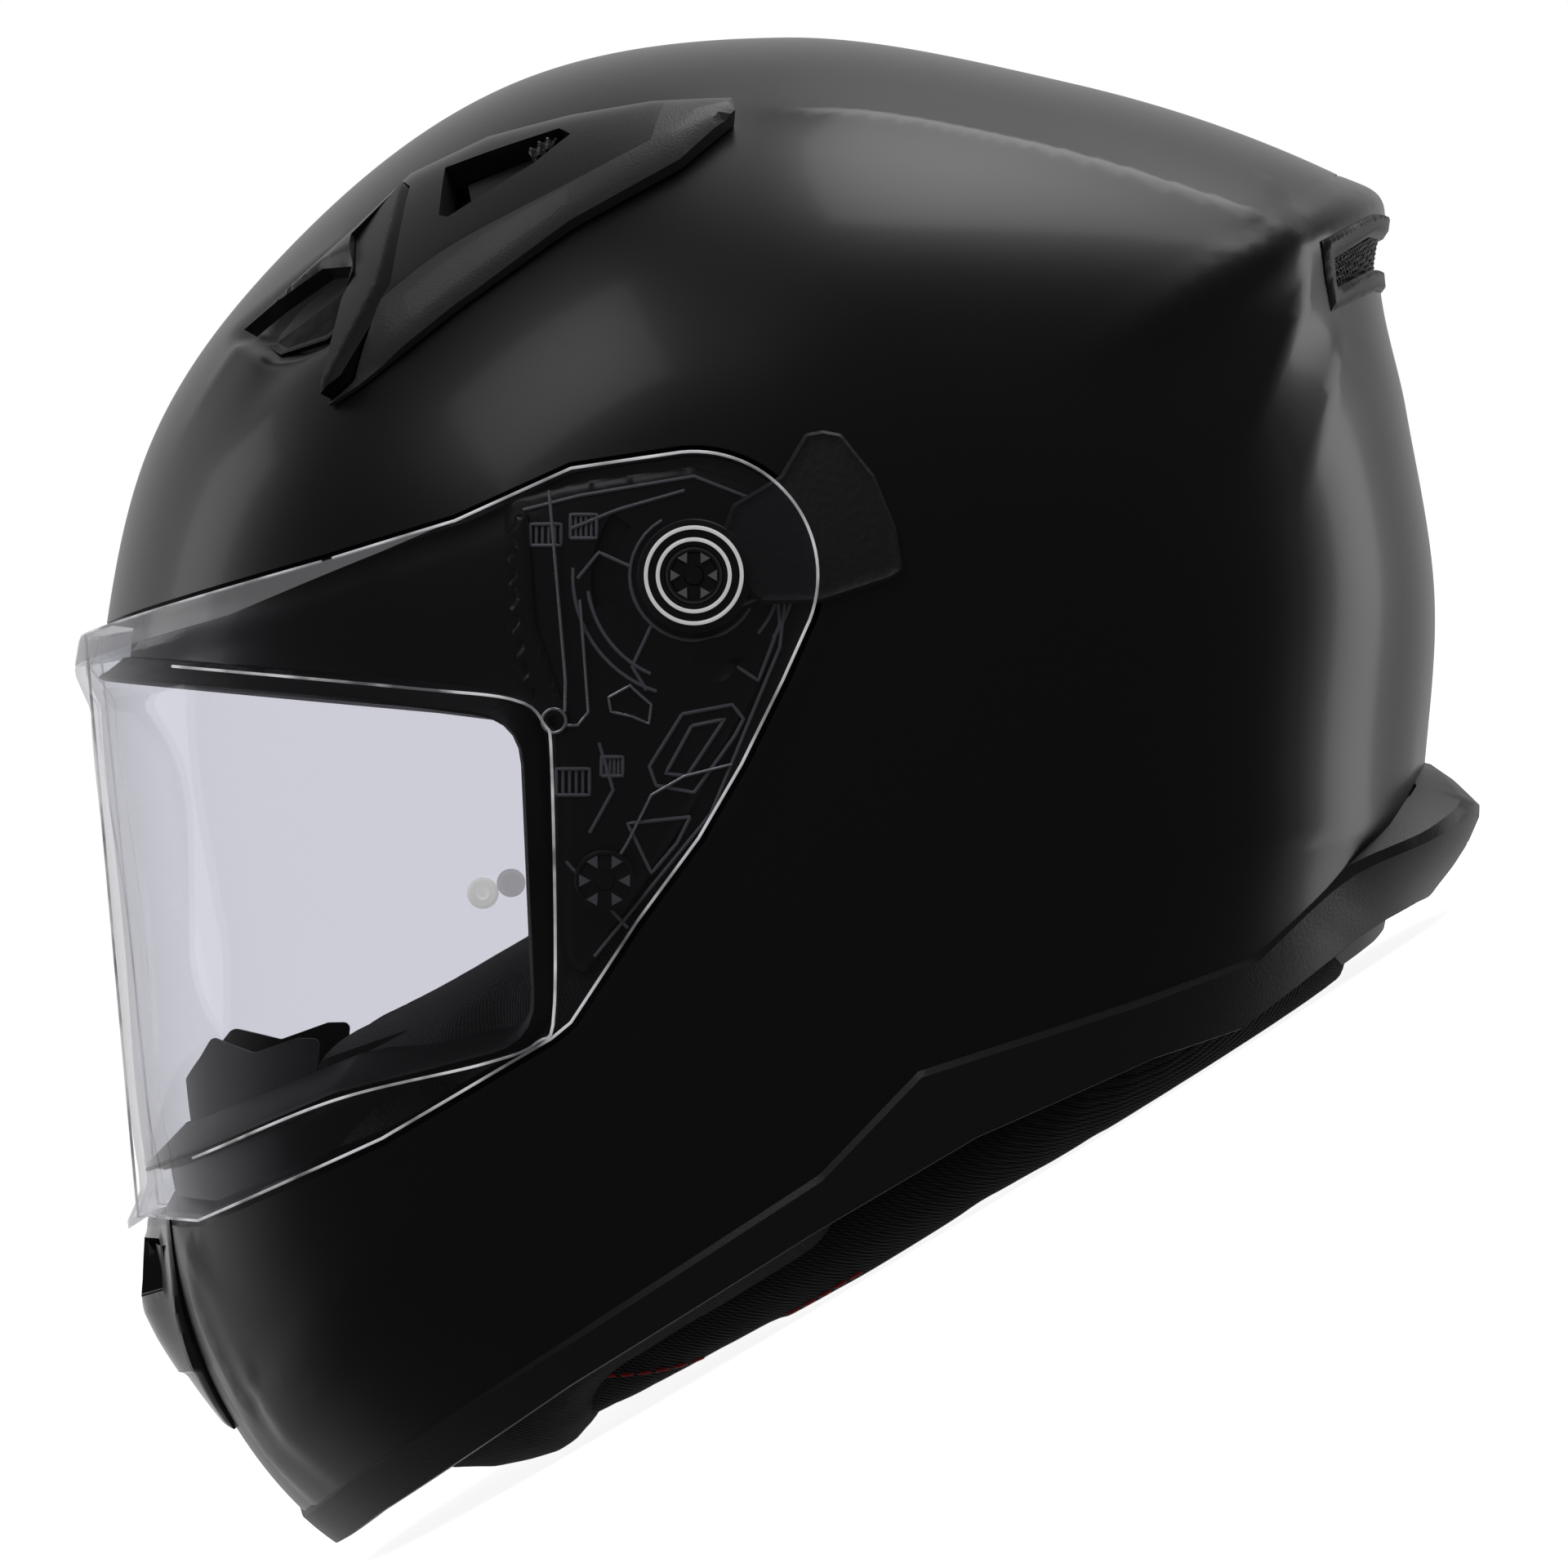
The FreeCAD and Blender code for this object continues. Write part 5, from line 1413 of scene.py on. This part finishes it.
class HELMET_OT_cheek_pads(bpy.types.Operator):
    """Left and right cheek pads"""
    bl_idname = "helmet.cheek_pads"
    bl_label = "Cheek pads"

    def execute(self, context):
        outline = rounded(CHEEK, 8)

        def keep_aside(shape):
            points, faces = shape
            points = points.copy()
            edge = 46 + 5 * smooth_step(points[:, 1], -90, -60)
            points[:, 0] = np.maximum(points[:, 0], edge)
            return points, faces

        seam = smoothed([(-30, -60), (-45, -105), (-40, -150), (-28, -176)])

        def relief(places):
            return -2.2 * np.exp(-(reach_to(places, seam)[0] / 2.0) ** 2)

        shape = keep_aside(cushion(outline, -21, -6.2, -37.2, 13.0, 3.2, False, relief, [seam]))
        for side in ("left", "right"):
            facing = (lambda item: item) if side == "left" else mirrored
            pad = make_piece("cheek_cushion_" + side, facing(shape), "helmet", FINISHES["knit"], 80,
                             ["cheek_pad_" + side])
            inflate(pad, 0.0018)
        return {"FINISHED"}


class HELMET_OT_crown_lining(bpy.types.Operator):
    """Quilted comfort lining inside the crown"""
    bl_idname = "helmet.crown_lining"
    bl_label = "Crown lining"

    def execute(self, context):
        channels = [smoothed(path) for path in ([(-60, -14), (-30, 30), (0, 70)], [(-28, -34), (0, 20), (40, 70)],
                                                [(37, -34), (60, 10), (95, 50)], [(60, -90), (95, -30), (120, 20)])]

        def relief(places):
            pulled = np.zeros(len(places))
            for channel in channels:
                pulled -= 2.0 * np.exp(-(reach_to(places, channel)[0] / 3.0) ** 2)
            return pulled

        shape = cushion(CROWN_LINER, -38, -34.8, -41.6, 4.0, 3.6, True, relief, channels)
        lining = make_piece("crown_lining_quilt", shape, "helmet", FINISHES["knit"], 80, ["crown_liner"])
        return {"FINISHED"}


class HELMET_OT_foam(bpy.types.Operator):
    """Bare foam liners, breath guard and the small vents inside the chin bar"""
    bl_idname = "helmet.foam"
    bl_label = "Foam and chin bar"

    def execute(self, context):
        dress("eps_liner", "foam")
        dress("chin_bar_liner", "foam")
        dress("breath_guard", "rubber", 0.5)
        dress("chin_air_grille", "mechanism", 0.3)
        return {"FINISHED"}


STRAP_PATH = [(0, -157), (34, -157), (50, -152), (64, -143), (80, -129), (98, -110), (108.5, -99), (110.5, -92),
              (110.5, -76)]
STRAP_Y = -14.0
STRAP_HALF_WIDTH = 11.0
STRAP_HALF_THICKNESS = 1.0
BUCKLE_STRAP_X = 29.5
LAP = [(5, -157), (-25, -157)]


def webbing_shape(path, hand=1):
    """Flat webbing along a path of (x, z), with rounded selvedges and a shallow rib along each."""
    path = np.asarray(path, float)
    ahead = np.gradient(path, axis=0)
    across = np.stack([-ahead[:, 1], ahead[:, 0]], -1)
    across /= np.linalg.norm(across, axis=1)[:, None]
    span = np.linspace(-1, 1, 23)
    thickness = STRAP_HALF_THICKNESS * (1 - np.abs(span) ** 12) * (1 - 0.25 * np.cos(span * 9) ** 8)
    ring = [(u, t) for u, t in zip(span, thickness)] + [(u, -t) for u, t in zip(span[-2:0:-1], thickness[-2:0:-1])]
    points = []
    for place, side in zip(path, across):
        for u, t in ring:
            x, z = place + side * t
            points.append((hand * x, STRAP_Y + u * STRAP_HALF_WIDTH, z))
    return tube(points, len(path), len(ring))


def tube(points, rings, size):
    """Closed surface over rings of as many points each, with flat ends."""
    faces = [tuple(range(size))[::-1], tuple((rings - 1) * size + k for k in range(size))]
    for ring in range(rings - 1):
        for k in range(size):
            after = (k + 1) % size
            faces.append((ring * size + k, ring * size + after, (ring + 1) * size + after, (ring + 1) * size + k))
    return np.array(points), faces


def sleeve_shape():
    """Soft tube round the strap: flat and wide, drawn in towards both ends."""
    points = []
    rings, size = 19, 40
    for share in np.linspace(0, 1, rings):
        end = 1 - 0.34 * np.abs(2 * share - 1) ** 10 - 0.1 * np.abs(2 * share - 1) ** 2
        for k in range(size):
            turn = 2 * math.pi * k / size
            y = math.copysign(abs(math.cos(turn)) ** 0.5, math.cos(turn))
            z = math.copysign(abs(math.sin(turn)) ** 0.7, math.sin(turn))
            points.append((-32.5 + 24 * share, STRAP_Y - 2 + 14.6 * end * y, STRAP_PATH[0][1] + 3.0 * end * z))
    return tube(points, rings, size)


class HELMET_OT_strap(bpy.types.Operator):
    """Chin strap: webbing with its stitches, padded sleeve, rivets and ratchet buckle"""
    bl_idname = "helmet.strap"
    bl_label = "Chin strap"

    def execute(self, context):
        for node, finish, bevel in (("strap_rivets", "steel", 0.3), ("buckle_body", "steel", 0.6),
                                    ("buckle_lever", "red", 0.5), ("buckle_tongue", "mechanism", 0.2)):
            dress(node, finish, bevel)
        for side, hand, start in (("left", 1, BUCKLE_STRAP_X), ("right", -1, 0.0)):
            path = [(start, STRAP_PATH[0][1])] + STRAP_PATH[1:]
            make_piece("chin_webbing_" + side, webbing_shape(smoothed(path, 1.5), hand), "helmet",
                       FINISHES["webbing"], 40, ["chin_strap_" + side])
        make_piece("chin_webbing_lap", webbing_shape(smoothed(LAP, 1.5)), "helmet", FINISHES["webbing"], 40, ())
        sleeve = make_piece("strap_cushion", sleeve_shape(), "helmet", FINISHES["knit"], 70, ["strap_sleeve"])
        inflate(sleeve, 0.0008)
        low = STRAP_PATH[0][1] - STRAP_HALF_THICKNESS
        box = [(36, -8), (46, -8), (46, 8), (36, 8), (36, -8), (46, 8), (46, -8), (36, 8)]
        paths = [[(hand * x, STRAP_Y + y, low - 0.1 + 0.31 * (x - 34)) for x, y in box] for hand in (1, -1)]
        wires("strap_stitches", paths, 0.25, "helmet", FINISHES["webbing"], ())
        return {"FINISHED"}


class HELMET_OT_stitching(bpy.types.Operator):
    """Row of red stitches along the front lower edge of the neck roll"""
    bl_idname = "helmet.stitching"
    bl_label = "Stitching"

    def execute(self, context):
        roll = bpy.data.objects["collar_roll"]
        surface = BVHTree.FromObject(roll, context.evaluated_depsgraph_get())
        line = smoothed(STITCH_LINE, 0.5)
        length = np.concatenate([[0], np.cumsum(np.linalg.norm(np.diff(line, axis=0), axis=1))])
        count = sizes().stitch_count
        paths = []
        for index in range(count):
            start = length[-1] * (index + 0.1) / count
            samples = np.linspace(start, start + sizes().stitch_length, 5)
            places = np.stack([np.interp(samples, length, line[:, 0]), np.interp(samples, length, line[:, 1])], -1)
            path = []
            for (y, z), lift in zip(places, (-0.5, 0.1, 0.3, 0.1, -0.5)):
                eye = Vector(placed((200, y, z)))
                found = surface.ray_cast(eye, Vector((-1, 0, 0)), 0.2)[0]
                if found:
                    path.append((found.x * 1000 + lift, y, z))
            if len(path) == 5:
                paths += [path, [(-x, y, z) for x, y, z in path]]
        wires("collar_stitches", paths, 0.45, "helmet", FINISHES["thread"], ())
        return {"FINISHED"}


STITCH_LINE = [(-24.1, -170.5), (-10.5, -169.5), (1.4, -166.4), (13.2, -160.4), (25.1, -153.9), (36, -147.4)]


# ---------------------------------------------------------------- stage
class HELMET_OT_stage(bpy.types.Operator):
    """Pale floor, studio light and the camera at the helmet's left side"""
    bl_idname = "helmet.stage"
    bl_label = "Stage"

    def execute(self, context):
        scene = bpy.context.scene
        scene.view_settings.view_transform = "Standard"
        self.floor()
        self.backdrop_light(scene)
        self.lamp("top_softbox", (-0.3, 0.5, 1.7), (0.0, 0.05, 0.0), 1.4, 1.0, 13)
        self.lamp("crown_glow", (1.2, -0.8, 1.3), (0.1, -0.02, 0.04), 1.0, 1.0, 5)
        self.lamp("face_strip", (-0.7, -1.8, 0.4), (0.0, -0.1, 0.0), 0.6, 1.2, 2.5)
        self.lamp("nape_strip", (-0.7, 1.8, 0.0), (0.0, 0.1, 0.0), 0.6, 1.2, 5)
        self.camera(scene)
        return {"FINISHED"}

    @staticmethod
    def floor():
        mesh = bpy.data.meshes.new("studio_floor")
        reach = 12.0
        mesh.from_pydata([(-reach, -reach, 0), (reach, -reach, 0), (reach, reach, 0), (-reach, reach, 0)], [],
                         [(0, 1, 2, 3)])
        floor = bpy.data.objects.new("studio_floor", mesh)
        bpy.context.scene.collection.objects.link(floor)
        pale = Finish("pale_floor", (0.9, 0.9, 0.9), 0.9, Emission_Strength=0.9)
        pale.surface.inputs["Emission Color"].default_value = (1, 1, 1, 1)
        mesh.materials.append(pale.material)
        floor.location.z = -0.0005
        floor.visible_glossy = False
        floor.visible_diffuse = False

    @staticmethod
    def backdrop_light(scene):
        """White surroundings, dimmer on the camera's side for everything but the eye."""
        world = bpy.data.worlds.new("studio")
        world.use_nodes = True
        scene.world = world
        nodes = world.node_tree.nodes
        links = world.node_tree.links
        nodes.clear()
        place = nodes.new("ShaderNodeTexCoord")
        split = nodes.new("ShaderNodeSeparateXYZ")
        links.new(place.outputs["Generated"], split.inputs[0])
        ramp = nodes.new("ShaderNodeMapRange")
        ramp.inputs["From Min"].default_value = -0.95
        ramp.inputs["From Max"].default_value = 0.0
        ramp.inputs["To Min"].default_value = 0.6
        ramp.inputs["To Max"].default_value = 0.07
        links.new(split.outputs["X"], ramp.inputs["Value"])
        around = nodes.new("ShaderNodeBackground")
        around.inputs["Color"].default_value = (1, 1, 1, 1)
        links.new(ramp.outputs[0], around.inputs["Strength"])
        seen = nodes.new("ShaderNodeBackground")
        seen.inputs["Color"].default_value = (1, 1, 1, 1)
        seen.inputs["Strength"].default_value = 1.0
        path = nodes.new("ShaderNodeLightPath")
        mix = nodes.new("ShaderNodeMixShader")
        links.new(path.outputs["Is Camera Ray"], mix.inputs[0])
        links.new(around.outputs[0], mix.inputs[1])
        links.new(seen.outputs[0], mix.inputs[2])
        output = nodes.new("ShaderNodeOutputWorld")
        links.new(mix.outputs[0], output.inputs["Surface"])

    @staticmethod
    def lamp(name, where, target, width, height, power):
        """Area light, its place and target in worn metres from the hinge axis."""
        data = bpy.data.lights.new(name, "AREA")
        data.shape = "RECTANGLE"
        data.size = width
        data.size_y = height
        data.energy = power
        lamp = bpy.data.objects.new(name, data)
        bpy.context.scene.collection.objects.link(lamp)
        start, end = placed(np.array([where, target]) * 1000)
        lamp.location = start
        lamp.rotation_euler = Vector(end - start).to_track_quat("-Z", "Y").to_euler()

    @staticmethod
    def camera(scene):
        """Level with the worn helmet, so rolled by the angle it leans back."""
        data = bpy.data.cameras.new("camera")
        data.lens = 260
        data.sensor_width = 36
        data.clip_end = 50
        camera = bpy.data.objects.new("camera", data)
        scene.collection.objects.link(camera)
        eye, target, above = placed(np.array([(2500, 18.9, -43.7), (0, 18.9, -43.7), (2500, 18.9, 956.3)]))
        back = Vector(eye - target).normalized()
        up = Vector(above - eye).normalized()
        right = up.cross(back)
        camera.rotation_mode = "QUATERNION"
        camera.rotation_quaternion = Matrix((right, up, back)).transposed().to_quaternion()
        camera.location = eye
        scene.camera = camera


class HELMET_PT_panel(bpy.types.Panel):
    """Sizes, colours and build steps of the helmet"""
    bl_idname = "HELMET_PT_panel"
    bl_label = "Helmet"
    bl_space_type = "VIEW_3D"
    bl_region_type = "UI"
    bl_category = "Helmet"

    def draw(self, context):
        column = self.layout.column()
        for group in (context.scene.helmet_sizes, context.scene.helmet_colours):
            for name in group.bl_rna.properties.keys():
                if name not in ("rna_type", "name"):
                    column.prop(group, name)
        for operator in OPERATORS:
            column.operator(operator.bl_idname)


GROUPS = (HelmetSizes, HelmetColours)
OPERATORS = (HELMET_OT_stage, HELMET_OT_shell, HELMET_OT_base_trim, HELMET_OT_top_vents, HELMET_OT_chin_vent,
             HELMET_OT_rear_vent, HELMET_OT_gasket, HELMET_OT_lens, HELMET_OT_mechanism, HELMET_OT_sun_shield,
             HELMET_OT_foam, HELMET_OT_crown_lining, HELMET_OT_cheek_pads, HELMET_OT_neck_roll,
             HELMET_OT_stitching, HELMET_OT_strap)


def register():
    for group in GROUPS + OPERATORS + (HELMET_PT_panel,):
        bpy.utils.register_class(group)
    bpy.types.Scene.helmet_sizes = PointerProperty(type=HelmetSizes)
    bpy.types.Scene.helmet_colours = PointerProperty(type=HelmetColours)


def unregister():
    del bpy.types.Scene.helmet_colours
    del bpy.types.Scene.helmet_sizes
    for group in reversed(GROUPS + OPERATORS + (HELMET_PT_panel,)):
        bpy.utils.unregister_class(group)


def main():
    register()
    FINISHES.update(make_finishes(bpy.context.scene.helmet_colours))
    for operator in OPERATORS:
        group, name = operator.bl_idname.split(".")
        getattr(getattr(bpy.ops, group), name)()


if __name__ == "__main__":
    main()
